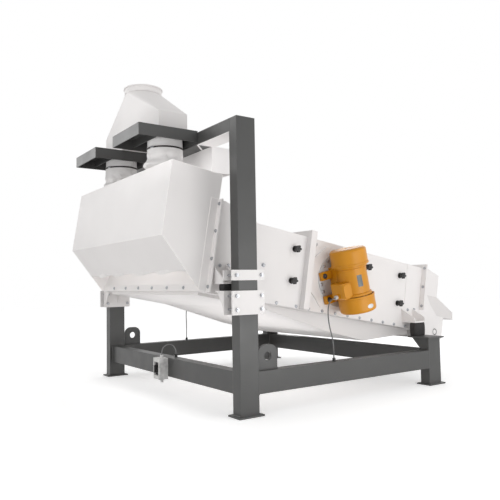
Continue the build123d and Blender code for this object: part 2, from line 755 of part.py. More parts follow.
add("feed_strip", BODY * side_prism(strip_line, -cheek_y, cheek_y))

# Discharge end: hood, overs chute, and accepts outlet with its sampling hole.
tail_half = half_width - TAIL_MARGIN
sill = (body_end, TAIL_SILL)
throat_back = (body_end + THROAT_BACK, THROAT_V)
throat_front = (body_end + THROAT_FRONT, THROAT_V)
elbow = (body_end + ELBOW, ELBOW_V)
ledge = (body_end + LEDGE, LEDGE_V)
tail_line = [
    sill, throat_back, throat_front, (body_end + TAIL_FRONT, TAIL_FRONT_TOP), (body_end, TAIL_TOP),
]
tail = sheet_box(tail_line, tail_half, [0, 1, 4])
for y0, y1 in ((-half_width - TAIL_FLANGE, -tail_half), (tail_half, half_width + TAIL_FLANGE)):
    tail = tail + block(body_end, body_end + FLANGE, y0, y1, TAIL_SILL, TAIL_TOP)
add("tail_hood", BODY * tail)
overs_u = body_end + OVERS_REACH
overs_line = [
    throat_back, elbow, ledge, (overs_u, OVERS_FLOOR_V),
    (overs_u - OVERS_RAKE, OVERS_FLOOR_V + OVERS_MOUTH), throat_front,
]
add("overs_chute", BODY * sheet_box(overs_line, tail_half, [3, 5]))
outlet_u = body_end + OUTLET_FRONT
floor_fall = (OVERS_FLOOR_V - LEDGE_V) / (OVERS_REACH - LEDGE)
outlet_top = LEDGE_V + floor_fall * (OUTLET_FRONT - LEDGE)
outlet_line = [
    (body_end, OUTLET_BOTTOM), (outlet_u, OUTLET_BOTTOM), (outlet_u, outlet_top), ledge, elbow,
    throat_back, sill,
]
outlet = sheet_box(outlet_line, tail_half, [0, 6])
sample = (outlet_u - SAMPLE_SETBACK, OUTLET_BOTTOM + SAMPLE_RISE)
outlet = outlet + rod_y(*sample, SAMPLE_HOLE + 2 * SAMPLE_RIM, -tail_half - SHEET, -tail_half)
outlet = outlet - rod_y(*sample, SAMPLE_HOLE, -tail_half - SHEET, -tail_half + SHEET)
add("accepts_outlet", BODY * outlet)


# Screens: frames with cross bars, a middle bar and the sieve plate on top.
def screen(v):
    u0 = SHOULDER_START
    u1 = body_end - SCREEN_END_GAP
    top = v + SCREEN_DEPTH
    side = inner_y - SCREEN_FRAME
    frame = block(u0, u1, -inner_y, inner_y, v, top)
    frame = frame - block(u0 + SCREEN_FRAME, u1 - SCREEN_FRAME, -side, side, v, top)
    frame = frame + block(u0, u1, -SCREEN_BAR / 2, SCREEN_BAR / 2, v, top)
    for u in spread(u0, u1 - SCREEN_BAR, SCREEN_BARS + 2)[1:-1]:
        frame = frame + block(u, u + SCREEN_BAR, -inner_y, inner_y, v, top)
    return frame + block(u0, u1, -inner_y, inner_y, top, top + SCREEN_PLATE)


add("screen_upper", BODY * screen(KNOB_UPPER_V - SCREEN_BELOW_KNOB))
add("screen_lower", BODY * screen(KNOB_LOWER_V - SCREEN_BELOW_KNOB))

# Star knobs that clamp the screens: lobes round a waist, with a stem and a washer.
lobe_r = KNOB_D / 2 - KNOB_WAIST
star = Cylinder(KNOB_WAIST, KNOB_DEPTH)
for k in range(KNOB_LOBES):
    a = 2 * pi * k / KNOB_LOBES
    star = star + Pos(KNOB_WAIST * cos(a), KNOB_WAIST * sin(a), 0) * Cylinder(lobe_r, KNOB_DEPTH)
knob_y = -half_width - KNOB_CLEAR
stem_y = knob_y - KNOB_WASHER - KNOB_STEM
knob = Pos(0, stem_y - KNOB_DEPTH / 2, 0) * Rot(90, 0, 0) * star
knob = knob + rod_y(0, 0, KNOB_STEM_D, stem_y, knob_y - KNOB_WASHER)
knob = knob + rod_y(0, 0, KNOB_WASHER_D, knob_y - KNOB_WASHER, knob_y)
knob_tail_u = body_end - KNOB_TAIL_GAP
knob_places = [
    (KNOB_FEED_U, KNOB_UPPER_V), (MOTOR_U + MOUNT_WIDTH / 2 + KNOB_MOUNT_GAP, KNOB_UPPER_V),
    (knob_tail_u, KNOB_UPPER_V), (KNOB_FEED_U, KNOB_LOWER_V), (knob_tail_u, KNOB_LOWER_V),
]
for number, (u, v) in enumerate(knob_places, start=1):
    add_pair("knob_%d" % number, BODY * Pos(u, 0, v) * knob)

# Motor mounts: an eight-sided plate and the turning disc that the motor stands on.
mount_u0 = MOTOR_U - MOUNT_WIDTH / 2
mount_u1 = MOTOR_U + MOUNT_WIDTH / 2
mount_v0 = mount_v - MOUNT_HEIGHT / 2
mount_v1 = mount_v + MOUNT_HEIGHT / 2
plate_y = -half_width - MOUNT_PLATE
disc_y = plate_y - DISC_PLATE
mount = block(mount_u0, mount_u1, plate_y, -half_width, mount_v0, mount_v1)
mount = chamfer(mount.edges().filter_by(Axis.Y), MOUNT_CORNER)
mount = BODY * (mount + rod_y(MOTOR_U, mount_v, DISC_D, disc_y, plate_y))
add_pair("motor_mount", mount)

# Motors: waist with bearing ends, two weight covers, saddle, feet and terminal box.
motor_spot = BODY * Pos(MOTOR_U, disc_y - MOTOR_HEIGHT, mount_v)
MOTOR = Pos(*motor_spot.position) * Rot(0, -MOTOR_LEAN, 0)
half_motor = MOTOR_LENGTH / 2
waist = half_motor - COVER_LENGTH
weight_cover = Pos(0, 0, half_motor - COVER_LENGTH / 2) * Cylinder(COVER_D / 2, COVER_LENGTH)
weight_cover = fillet(weight_cover.edges().group_by(Axis.Z)[-1], COVER_ROUND)
weight_cover = weight_cover + Pos(0, 0, waist + COVER_BEAD_WIDTH / 2) * Cylinder(
    COVER_D / 2 + COVER_BEAD, COVER_BEAD_WIDTH)
housing = Cylinder(WAIST_D / 2, 2 * waist) + weight_cover + mirror(weight_cover, about=Plane.XY)
housing = housing + block(-SADDLE_WIDTH / 2, SADDLE_WIDTH / 2, 0, MOTOR_HEIGHT, -waist, waist)
for z in (MOTOR_FOOT_UPPER, MOTOR_FOOT_LOWER):
    low = z - MOTOR_FOOT_WIDTH / 2
    high = z + MOTOR_FOOT_WIDTH / 2
    housing = housing + block(
        -MOTOR_FOOT / 2, MOTOR_FOOT / 2, MOTOR_HEIGHT - MOTOR_FOOT_SHEET, MOTOR_HEIGHT, low, high)
    housing = housing + block(-SADDLE_WIDTH / 2, SADDLE_WIDTH / 2, 0, MOTOR_HEIGHT, low, high)
terminal_z = -TERMINAL_DROP
terminal = block(
    -TERMINAL_REACH, 0, -TERMINAL_WIDTH / 2, TERMINAL_WIDTH / 2,
    terminal_z - TERMINAL_HEIGHT / 2, terminal_z + TERMINAL_HEIGHT / 2,
)
terminal = fillet(terminal.edges().group_by(Axis.X)[0], TERMINAL_ROUND)
gland_x = -TERMINAL_REACH - MOTOR_GLAND
gland = Pos(gland_x + MOTOR_GLAND / 2, 0, -MOTOR_GLAND_DROP) * Rot(0, 90, 0) * Cylinder(
    MOTOR_GLAND_D / 2, MOTOR_GLAND)
housing = housing + terminal + gland
housing = housing - Cylinder(WAIST_D / 2 - WAIST_WALL, 2 * (waist - BEARING_WALL))
cover_space = Pos(0, 0, half_motor - COVER_SHEET - (COVER_LENGTH - COVER_SHEET) / 2) * Cylinder(
    COVER_D / 2 - COVER_SHEET, COVER_LENGTH - COVER_SHEET)
cover_space = fillet(cover_space.edges().group_by(Axis.Z)[-1], COVER_ROUND - COVER_SHEET)
housing = housing - cover_space - mirror(cover_space, about=Plane.XY)
housing = housing - Cylinder(SHAFT_D / 2 + SHAFT_CLEAR, 2 * waist)
add_pair("motor", MOTOR * housing)

# Rotors: shaft, winding core and a half-round weight at each end.
rotor = Cylinder(SHAFT_D / 2, MOTOR_LENGTH - 2 * SHAFT_END_GAP) + Cylinder(CORE_D / 2, CORE_LENGTH)
weight = Cylinder(WEIGHT_D / 2, WEIGHT_LENGTH)
weight = weight - block(-WEIGHT_D, WEIGHT_D, 0, WEIGHT_D, -WEIGHT_LENGTH, WEIGHT_LENGTH)
weight = weight + Cylinder(WEIGHT_HUB / 2, WEIGHT_LENGTH)
for z in (-WEIGHT_PLACE, WEIGHT_PLACE):
    rotor = rotor + Pos(0, 0, z) * weight
add_pair("rotor", MOTOR * rotor)

# Bolt heads on the body, the mounts and the feed strip.
bolts = []
flange_y = -half_width - FEED_FLANGE / 2
for v in spread(WALL_BOTTOM + BOLT_MARGIN, SHOULDER_TOP - BOLT_MARGIN, FLANGE_BOLT_COUNT):
    face = BODY_START - FLANGE
    bolts.append(BODY * hex_x(flange_y, v, BOLT_HEAD, face - BOLT_DEPTH, face))
row_v = WALL_BOTTOM + BOLT_EDGE
row = spread(FRONT_SEAT_X + FRONT_BRACKET + BOLT_MARGIN, rib_u0 - BOLT_MARGIN, FEED_ROW_BOLT_COUNT)
row_end = body_end - BOLT_MARGIN - REAR_BRACKET
row = row + spread(rib_u1 + BOLT_MARGIN, row_end, TAIL_ROW_BOLT_COUNT)
for u in row:
    face = -half_width - (TAIL_PLATE_SHEET if u > tail_seam else 0)
    bolts.append(BODY * hex_y(u, row_v, BOLT_HEAD, face - BOLT_DEPTH, face))
flange_y = -half_width - (TAIL_FLANGE + FLANGE) / 2
for v in spread(TAIL_SILL + BOLT_MARGIN, TAIL_TOP - BOLT_MARGIN, TAIL_BOLT_COUNT):
    face = body_end - FLANGE
    bolts.append(BODY * hex_x(flange_y, v, BOLT_HEAD, face - BOLT_DEPTH, face))
back = -half_width - BRACKET_SHEET
for x, width, seat, height in (
    (FRONT_SEAT_X, FRONT_BRACKET, front_seat_z, FRONT_BRACKET_HEIGHT),
    (rear_seat_x, REAR_BRACKET, rear_seat_z, REAR_BRACKET_HEIGHT),
):
    for bolt_x in (x, x + width / 2 + BRACKET_LUG / 2):
        top = seat + height - BOLT_EDGE
        bolts.append(hex_y(bolt_x, top, BOLT_HEAD, back - BOLT_DEPTH, back))
for u, v in ((PIVOT_BOLT_U, PIVOT_BOLT_V), (rib_u1 + BOLT_MARGIN, RIB_BOLT_V)):
    bolts.append(BODY * hex_y(u, v, BIG_BOLT_HEAD, -half_width - BIG_BOLT_DEPTH, -half_width))
ring_r = DISC_D / 2 - DISC_BOLT_INSET
for turn in DISC_BOLT_TURNS:
    x = ring_r * cos(radians(turn))
    z = ring_r * sin(radians(turn))
    bolts.append(MOTOR * hex_y(x, z, BOLT_HEAD, MOTOR_HEIGHT - BOLT_DEPTH, MOTOR_HEIGHT))
foot_bolt_x = MOTOR_FOOT / 2 - MOTOR_FOOT_INSET
foot_face = MOTOR_HEIGHT - MOTOR_FOOT_SHEET
for z in (MOTOR_FOOT_UPPER, MOTOR_FOOT_LOWER):
    for x in (-foot_bolt_x, foot_bolt_x):
        bolts.append(MOTOR * hex_y(x, z, FOOT_BOLT_HEAD, foot_face - FOOT_BOLT_DEPTH, foot_face))
bolts = [both(bolt) for bolt in bolts]
strip_pitch = BODY_WIDTH / (STRIP_BOLT_COUNT + 1)
strip_reach = strip_pitch * (STRIP_BOLT_COUNT - 1) / 2
for y in spread(-strip_reach, strip_reach, STRIP_BOLT_COUNT):
    v = WALL_BOTTOM + STRIP_HEIGHT / 2
    bolts.append(BODY * hex_x(y, v, BOLT_HEAD, strip_u - BOLT_DEPTH, strip_u))
add("body_bolts", Compound(bolts))

# Isolator switch on the front rail, with a recessed face and a turning handle.
switch_x = rail_x0 - SWITCH_REACH
switch_z0 = RAIL_BOTTOM - SWITCH_BELOW_RAIL
switch_z1 = switch_z0 + SWITCH_HEIGHT
switch_y0 = SWITCH_Y - SWITCH_WIDTH / 2
switch_y1 = SWITCH_Y + SWITCH_WIDTH / 2
switch = block(switch_x, rail_x0, switch_y0, switch_y1, switch_z0, switch_z1)
switch = switch - block(
    switch_x, switch_x + SWITCH_RECESS, switch_y0 + SWITCH_BORDER_SIDE, switch_y1 - SWITCH_BORDER_SIDE,
    switch_z0 + SWITCH_BORDER_END, switch_z1 - SWITCH_BORDER_END,
)
gland_y = SWITCH_Y - SWITCH_GLAND_SIDE
for z in (switch_z0 - SWITCH_GLAND / 2, switch_z1 + SWITCH_GLAND / 2):
    switch = switch + Pos(rail_x0 - SWITCH_GLAND_BACK, gland_y, z) * Cylinder(
        SWITCH_GLAND_D / 2, SWITCH_GLAND)
add("switch_box", switch)
switch_z = (switch_z0 + switch_z1) / 2
handle_x = switch_x + SWITCH_RECESS - HANDLE_CLEAR
handle = Pos(handle_x - HANDLE_DEPTH / 2, SWITCH_Y, switch_z) * Rot(0, 90, 0) * Cylinder(
    HANDLE_D / 2, HANDLE_DEPTH)
grip_x = handle_x - HANDLE_DEPTH
handle = handle + block(
    grip_x - GRIP_DEPTH, grip_x, SWITCH_Y - GRIP_WIDTH / 2, SWITCH_Y + GRIP_WIDTH / 2,
    switch_z - HANDLE_D / 2, switch_z + HANDLE_D / 2,
)
add("switch_handle", handle)


# Cables: straight runs joined by tangent arcs, and the glands where they enter the rails.
def cord(label, points):
    points = [Vector(*p) for p in points]
    runs = [b - a for a, b in zip(points, points[1:])]
    radii = []
    for before, after in zip(runs, runs[1:]):
        half_turn = radians(before.get_angle(after)) / 2
        radii.append(0.45 * min(before.length, after.length) / tan(half_turn))
    path = FilletPolyline(*points, radius=radii)
    solid = sweep(Plane(origin=path @ 0, z_dir=path % 0) * Circle(CABLE_D / 2), path=path)
    ideal = pi * CABLE_D ** 2 / 4 * path.length
    print(label, "radii", [round(r) for r in radii], "length", round(path.length),
          "volume share", round(solid.volume / ideal, 4))
    return solid


rail_gland_top = rail_top + RAIL_GLAND
cable_start = (MOTOR * Pos(gland_x, 0, -MOTOR_GLAND_DROP)).position
cable_out = (MOTOR * Pos(gland_x - CABLE_EXIT, 0, -MOTOR_GLAND_DROP)).position
cable_points = [
    tuple(cable_start), tuple(cable_out), *CABLE_HANG,
    (CABLE_X, -mid_y, rail_gland_top + CABLE_EXIT), (CABLE_X, -mid_y, rail_gland_top),
]
add_pair("cable", cord("cable", cable_points))
switch_gland_top = switch_z1 + SWITCH_GLAND
entry_x = rail_x0 + SWITCH_CABLE_BACK
entry_y = gland_y - SWITCH_CABLE_SIDE
switch_start = Vector(rail_x0 - SWITCH_GLAND_BACK, gland_y, switch_gland_top)
switch_points = [
    tuple(switch_start), *(tuple(switch_start + Vector(*step)) for step in SWITCH_CABLE_LOOP),
    (entry_x, entry_y, rail_gland_top + SWITCH_CABLE_ENTRY), (entry_x, entry_y, rail_gland_top),
]
add("cable_switch", cord("switch cable", switch_points))
rail_gland = Cylinder(RAIL_GLAND_D / 2, RAIL_GLAND)
gland_mid = rail_top + RAIL_GLAND / 2
add("cable_glands", Compound([
    both(Pos(CABLE_X, -mid_y, gland_mid) * rail_gland),
    Pos(entry_x, entry_y, gland_mid) * rail_gland,
]))

os.makedirs("parts", exist_ok=True)
for name, shape in nodes.items():
    export_step(shape, "parts/%s.step" % name)
print(len(nodes), "nodes, overall length", round(overs_u * COS + OVERS_FLOOR_V * SIN + ARM_REACH), "mm")
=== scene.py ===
"""Looks of the vibrating sieve: camera, cables, cloth, paint, fittings, floor and light."""
import json
from math import cos, pi, radians, sin

import bmesh
import bpy
from mathutils import Matrix, Vector, noise


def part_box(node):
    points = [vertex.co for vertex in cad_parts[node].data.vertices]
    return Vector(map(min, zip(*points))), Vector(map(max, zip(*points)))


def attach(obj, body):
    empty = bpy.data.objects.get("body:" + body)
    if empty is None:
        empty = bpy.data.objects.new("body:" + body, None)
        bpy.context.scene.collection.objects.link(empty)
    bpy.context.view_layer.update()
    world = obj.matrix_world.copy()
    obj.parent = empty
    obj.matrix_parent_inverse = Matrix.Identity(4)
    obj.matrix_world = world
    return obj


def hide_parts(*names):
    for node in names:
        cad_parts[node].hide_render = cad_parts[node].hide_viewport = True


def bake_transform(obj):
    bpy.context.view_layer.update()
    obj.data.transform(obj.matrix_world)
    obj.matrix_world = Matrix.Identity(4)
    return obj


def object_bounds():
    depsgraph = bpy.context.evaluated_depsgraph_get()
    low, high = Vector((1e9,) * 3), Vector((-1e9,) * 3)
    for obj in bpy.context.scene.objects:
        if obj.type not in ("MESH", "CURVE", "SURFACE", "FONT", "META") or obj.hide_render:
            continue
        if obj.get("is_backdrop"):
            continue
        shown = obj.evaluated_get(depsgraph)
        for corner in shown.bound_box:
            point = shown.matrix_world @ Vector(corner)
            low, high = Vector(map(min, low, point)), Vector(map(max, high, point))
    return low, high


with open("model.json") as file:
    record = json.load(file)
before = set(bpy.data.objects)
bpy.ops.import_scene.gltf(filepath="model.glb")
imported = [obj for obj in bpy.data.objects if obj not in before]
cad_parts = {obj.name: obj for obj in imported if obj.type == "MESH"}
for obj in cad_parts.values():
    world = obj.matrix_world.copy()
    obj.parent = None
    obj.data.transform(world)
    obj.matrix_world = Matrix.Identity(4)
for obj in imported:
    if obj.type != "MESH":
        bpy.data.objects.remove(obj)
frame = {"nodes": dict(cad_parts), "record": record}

cad_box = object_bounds()
nodes = frame["nodes"]

SIDES = ("right", "left")
X_AXIS, Y_AXIS, Z_AXIS = Vector((1, 0, 0)), Vector((0, 1, 0)), Vector((0, 0, 1))
ROOT_3 = 3 ** 0.5

# Camera, solved from the edges of the stand. Metres, degrees, and pixels of a 500 px image.
CAMERA_PLACE = Vector((-3.122, -4.303, 0.870))
CAMERA_AZIMUTH = 55.007
CAMERA_ELEVATION = 3.425
CAMERA_ROLL = -0.981
CAMERA_REACH = 100.0
FOCAL_PIXELS = 572.371
IMAGE_PIXELS = 500
SENSOR_MM = 36.0

# The body leans by this much about the Y axis, and the motors the other way.
INCLINE = radians(10.0)
ALONG = Vector((cos(INCLINE), 0.0, -sin(INCLINE)))
MOTOR_LEAN = radians(12.4)
SHAFT_UP = Vector((-sin(MOTOR_LEAN), 0.0, cos(MOTOR_LEAN)))
SHAFT_SIDE = Vector((cos(MOTOR_LEAN), 0.0, sin(MOTOR_LEAN)))

# Cable routes, from gland to gland.
CABLE_D = 0.009
MOTOR_ROUTE = [
    (-0.0844, -1.085, 0.7539), (-0.1390, -1.085, 0.7419), (-0.170, -1.094, 0.676),
    (-0.180, -1.108, 0.572), (-0.162, -1.130, 0.452), (-0.160, -1.135, 0.370),
    (-0.160, -1.135, 0.314),
]
SWITCH_ROUTE = [
    (-1.038, -0.054, 0.312), (-1.038, -0.054, 0.356), (-1.000, -0.066, 0.396),
    (-0.952, -0.080, 0.390), (-0.926, -0.088, 0.352), (-0.926, -0.088, 0.314),
]

# Colours, linear.
STAND_GREY = (0.056, 0.056, 0.0545)
WHITE = (0.83, 0.805, 0.795)
# A lit copy of the white: painted light for white parts that sit in shade.
LIT_WHITE = (0.90, 0.88, 0.875)
# A shaded copy of the white: painted shade for the overs chute.
SHADED_WHITE = (0.72, 0.695, 0.685)
ORANGE = (0.575, 0.236, 0.005)
STEEL = (0.42, 0.43, 0.45)
DARK_STEEL = (0.060, 0.052, 0.050)
DISC_STEEL = (0.56, 0.57, 0.58)
PLATE_GREY = (0.10, 0.11, 0.11)
BLACK = (0.018, 0.017, 0.017)
RUBBER = (0.014, 0.012, 0.012)
CABLE_GREY = (0.115, 0.115, 0.115)
CLOTH = (0.87, 0.85, 0.84)
BOX_GREY = (0.60, 0.595, 0.59)
RIM_GREY = (0.62, 0.615, 0.60)
WOOD = (0.48, 0.34, 0.19)
FLOOR = (0.90, 0.90, 0.90)


# Camera.
def place_camera():
    azimuth, elevation, roll = (
        radians(a) for a in (CAMERA_AZIMUTH, CAMERA_ELEVATION, CAMERA_ROLL))
    ahead = Vector((cos(elevation) * cos(azimuth), cos(elevation) * sin(azimuth), sin(elevation)))
    right = ahead.cross(Z_AXIS).normalized()
    up = right.cross(ahead)
    level_right = right * cos(roll) + up * sin(roll)
    level_up = up * cos(roll) - right * sin(roll)
    data = bpy.data.cameras.new("camera")
    data.sensor_fit = "HORIZONTAL"
    data.sensor_width = SENSOR_MM
    data.lens = FOCAL_PIXELS / IMAGE_PIXELS * SENSOR_MM
    data.clip_end = CAMERA_REACH
    camera = bpy.data.objects.new("camera", data)
    turn = Matrix((level_right, level_up, -ahead)).transposed()
    camera.matrix_world = Matrix.Translation(CAMERA_PLACE) @ turn.to_4x4()
    bpy.context.scene.collection.objects.link(camera)
    bpy.context.scene.camera = camera


place_camera()

# Materials. The sockets of a Mix node are numbered, because several share a name.
FLOAT_A, FLOAT_B = 2, 3
COLOUR_A, COLOUR_B, COLOUR_OUT = 6, 7, 2


def material(name):
    made = bpy.data.materials.new(name)
    made.use_nodes = True
    tree = made.node_tree
    shader = tree.nodes["Principled BSDF"]
    return made, tree, shader


def add_node(tree, kind, **settings):
    node = tree.nodes.new(kind)
    for key, value in settings.items():
        if hasattr(node, key):
            setattr(node, key, value)
        else:
            node.inputs[key.replace("_", " ")].default_value = value
    return node


def place_noise(tree, scale, detail, stretch=(1, 1, 1)):
    """Noise fixed to the object's own coordinates."""
    spot = add_node(tree, "ShaderNodeTexCoord")
    mapping = add_node(tree, "ShaderNodeMapping", Scale=stretch)
    texture = add_node(tree, "ShaderNodeTexNoise", Scale=scale, Detail=detail)
    tree.links.new(spot.outputs["Object"], mapping.inputs["Vector"])
    tree.links.new(mapping.outputs["Vector"], texture.inputs["Vector"])
    return texture.outputs["Fac"]


def span(tree, value, low, high, to_low, to_high):
    node = add_node(tree, "ShaderNodeMapRange", clamp=True)
    for slot, number in enumerate((low, high, to_low, to_high), start=1):
        node.inputs[slot].default_value = number
    tree.links.new(value, node.inputs[0])
    return node.outputs[0]


def noise_span(tree, scale, detail, to_low=0.0, to_high=1.0, reach=(0.3, 0.7), stretch=(1, 1, 1)):
    """Noise whose usual reach is spread from one value to another."""
    return span(tree, place_noise(tree, scale, detail, stretch), *reach, to_low, to_high)


def blend_colour(tree, amount, low, high):
    node = add_node(tree, "ShaderNodeMix", data_type="RGBA")
    tree.links.new(amount, node.inputs["Factor"])
    for slot, colour in ((COLOUR_A, low), (COLOUR_B, high)):
        if isinstance(colour, tuple):
            node.inputs[slot].default_value = (*colour, 1)
        else:
            tree.links.new(colour, node.inputs[slot])
    return node.outputs[COLOUR_OUT]


def tint(colour, factor):
    return tuple(min(1.0, c * factor) for c in colour)


def mottle(tree, shader, amount, colour, darkest, lightest):
    """Base colour that wanders between two tints."""
    mixed = blend_colour(tree, amount, tint(colour, darkest), tint(colour, lightest))
    tree.links.new(mixed, shader.inputs["Base Color"])


def edge_amount(tree, radius, full_at):
    """How far the rounded normal turns away from the flat one: high along edges."""
    bevel = add_node(tree, "ShaderNodeBevel", samples=4, Radius=radius)
    true = add_node(tree, "ShaderNodeNewGeometry")
    dot = add_node(tree, "ShaderNodeVectorMath", operation="DOT_PRODUCT")
    tree.links.new(bevel.outputs["Normal"], dot.inputs[0])
    tree.links.new(true.outputs["True Normal"], dot.inputs[1])
    return span(tree, dot.outputs["Value"], 0.995, full_at, 0.0, 1.0), bevel.outputs["Normal"]


def painted(
        name, colour, rough, edge_tint, peel=0.06, cloud=0.05, radius=0.0025, metal=0.0, shine=0.5,
        least_wear_and_highlight=0.25, full_at=0.80, soft_edges=True):
    """Sprayed paint: faint clouds, orange peel, and lighter edges that stand both for wear in
    patches and for a painted highlight along edges.
    """
    made, tree, shader = material(name)
    clouds = noise_span(tree, scale=2.6, detail=5.0)
    base = blend_colour(tree, clouds, tint(colour, 1 - cloud), tint(colour, 1 + cloud))
    edge, rounded = edge_amount(tree, radius, full_at)
    # Edges lighten where the patches allow: partly wear, partly a painted highlight along the edge.
    wear_and_highlight = add_node(tree, "ShaderNodeMath", operation="MULTIPLY")
    tree.links.new(edge, wear_and_highlight.inputs[0])
    patches = noise_span(tree, scale=38.0, detail=3.0, to_low=least_wear_and_highlight, reach=(0.35, 0.65))
    tree.links.new(patches, wear_and_highlight.inputs[1])
    final = blend_colour(tree, wear_and_highlight.outputs[0], base, tint(colour, edge_tint))
    tree.links.new(final, shader.inputs["Base Color"])
    gloss = noise_span(tree, scale=9.0, detail=4.0, to_low=rough - 0.05, to_high=rough + 0.05)
    tree.links.new(gloss, shader.inputs["Roughness"])
    bump = add_node(tree, "ShaderNodeBump", Strength=peel, Distance=0.0006)
    tree.links.new(place_noise(tree, scale=420.0, detail=2.0), bump.inputs["Height"])
    if soft_edges:
        tree.links.new(rounded, bump.inputs["Normal"])
    tree.links.new(bump.outputs["Normal"], shader.inputs["Normal"])
    shader.inputs["Metallic"].default_value = metal
    shader.inputs["Specular IOR Level"].default_value = shine
    return made


def woven(name, colour, thread, rough=0.85):
    """Cloth: crossed threads as bump, with faint soiling."""
    made, tree, shader = material(name)
    clouds = noise_span(tree, scale=14.0, detail=5.0)
    mottle(tree, shader, clouds, colour, darkest=0.93, lightest=1.04)
    spot = add_node(tree, "ShaderNodeTexCoord")
    heights = []
    for direction in ("X", "Z"):
        wave = add_node(
            tree, "ShaderNodeTexWave", bands_direction=direction, Scale=thread, Distortion=0.6)
        tree.links.new(spot.outputs["Object"], wave.inputs["Vector"])
        heights.append(wave.outputs["Fac"])
    both = add_node(tree, "ShaderNodeMath", operation="ADD")
    for slot, height in enumerate(heights):
        tree.links.new(height, both.inputs[slot])
    bump = add_node(tree, "ShaderNodeBump", Strength=0.25, Distance=0.0008)
    tree.links.new(both.outputs[0], bump.inputs["Height"])
    tree.links.new(bump.outputs["Normal"], shader.inputs["Normal"])
    shader.inputs["Roughness"].default_value = rough
    shader.inputs["Sheen Weight"].default_value = 0.25
    return made


def moulded(name, colour, rough, grain, scale):
    """Rubber and plastic: fine grain and a little bloom."""
    made, tree, shader = material(name)
    clouds = noise_span(tree, scale=22.0, detail=4.0, reach=(0.35, 0.65))
    mottle(tree, shader, clouds, colour, darkest=0.85, lightest=1.25)
    gloss = noise_span(tree, scale=60.0, detail=2.0, to_low=rough - 0.08, to_high=rough + 0.06)
    tree.links.new(gloss, shader.inputs["Roughness"])
    bump = add_node(tree, "ShaderNodeBump", Strength=grain, Distance=0.0005)
    tree.links.new(place_noise(tree, scale, detail=2.0), bump.inputs["Height"])
    tree.links.new(bump.outputs["Normal"], shader.inputs["Normal"])
    return made


def planks(name, colour):
    """Wood: grain drawn out along the object's X axis."""
    made, tree, shader = material(name)
    grain = noise_span(tree, scale=12.0, detail=6.0, stretch=(1.0, 14.0, 14.0))
    mottle(tree, shader, grain, colour, darkest=0.72, lightest=1.12)
    shader.inputs["Roughness"].default_value = 0.6
    return made


# The stand's strong edge tint paints a highlight along the tubes' corners.
stand_paint = painted("stand_paint", STAND_GREY, 0.42, 1.9, cloud=0.07, radius=0.006, shine=0.55)
white_paint = painted("white_paint", WHITE, 0.45, 1.10, cloud=0.018, shine=0.25)
# Lit copy of the white paint: painted light on the hood and inlet pipes, which sit in shade.
lit_white_paint = painted("lit_white_paint", LIT_WHITE, 0.45, 1.05, cloud=0.018, shine=0.25)
# Shaded copy of the white paint: painted shade on the overs chute.
shaded_white_paint = painted("shaded_white_paint", SHADED_WHITE, 0.45, 1.10, cloud=0.03, shine=0.25)
# The feed box's paint lightens every fold evenly: a painted highlight line along the folds, not
# wear.
fold_highlight_paint = painted(
    "fold_highlight_paint", WHITE, 0.45, 1.20, cloud=0.018, radius=0.007, shine=0.25, least_wear_and_highlight=0.9,
    full_at=0.965, soft_edges=False)
orange_paint = painted(
    "orange_paint", ORANGE, 0.36, 1.25, peel=0.10, cloud=0.06, radius=0.004, shine=0.35)
steel = painted("steel", STEEL, 0.34, 1.3, cloud=0.10, radius=0.001, metal=0.85)
dark_steel = painted("dark_steel", DARK_STEEL, 0.40, 1.6, cloud=0.10, radius=0.001, metal=0.5)
disc_steel = painted("disc_steel", DISC_STEEL, 0.38, 1.4, cloud=0.14, radius=0.001, metal=0.25)
plate_grey = painted("plate_grey", PLATE_GREY, 0.38, 1.4, cloud=0.12, radius=0.001, metal=0.5)
black_plastic = moulded("black_plastic", BLACK, 0.45, 0.12, 700.0)
rubber = moulded("rubber", RUBBER, 0.72, 0.20, 500.0)
cable_jacket = moulded("cable_jacket", CABLE_GREY, 0.50, 0.10, 900.0)
box_plastic = moulded("box_plastic", BOX_GREY, 0.48, 0.10, 600.0)
rim_plastic = moulded("rim_plastic", RIM_GREY, 0.42, 0.08, 600.0)
cloth = woven("cloth", CLOTH, 260.0)
wood = planks("wood", WOOD)

slot_materials = {
    "stand_grey": stand_paint, "white_paint": white_paint, "motor_orange": orange_paint,
    "black_plastic": black_plastic, "cable_grey": cable_jacket, "steel": steel,
    "screen_wood": wood, "sleeve_cloth": cloth, "flap_cloth": cloth, "band_dark": dark_steel,
    "rubber": rubber, "box_grey": box_plastic,
}
# Some pieces take a lit or shaded copy of the white paint, which paints light or shade on them; the
# feed box's paint paints a highlight along its folds.
node_materials = {
    "feed_box": fold_highlight_paint, "beam_hood": lit_white_paint, "overs_chute": shaded_white_paint,
    "inlet_pipe_right": lit_white_paint, "inlet_pipe_left": lit_white_paint,
}
for part in frame["record"]["subparts"]:
    piece = nodes[part["node"]]
    piece.data.materials.clear()
    piece.data.materials.append(
        node_materials.get(part["node"], slot_materials[part["material_slot"]]))

# Pieces.
SAME_POINT = 1e-6
SHARP_ANGLE = radians(38)


def add_piece(name, mesh, body, look, slot_name, smooth=True):
    piece = bpy.data.objects.new(name, mesh)
    bpy.context.scene.collection.objects.link(piece)
    mesh.materials.append(look)
    for face in mesh.polygons:
        face.use_smooth = smooth
    if body:
        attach(piece, body)
    return piece


def join_rows(made, rows, closed=True):
    """Faces between each row of corners and the next; a closed row joins its ends."""
    for low, high in zip(rows, rows[1:]):
        count = len(low)
        for k in range(count if closed else count - 1):
            n = (k + 1) % count
            made.faces.new((low[k], low[n], high[n], high[k]))


def skin(made, rings):
    """Closed skin over rings of corners, with both ends filled."""
    join_rows(made, rings)
    made.faces.new(rings[-1])
    made.faces.new(rings[0][::-1])


def new_mesh(name, made):
    bmesh.ops.recalc_face_normals(made, faces=made.faces)
    mesh = bpy.data.meshes.new(name)
    made.to_mesh(mesh)
    made.free()
    return mesh


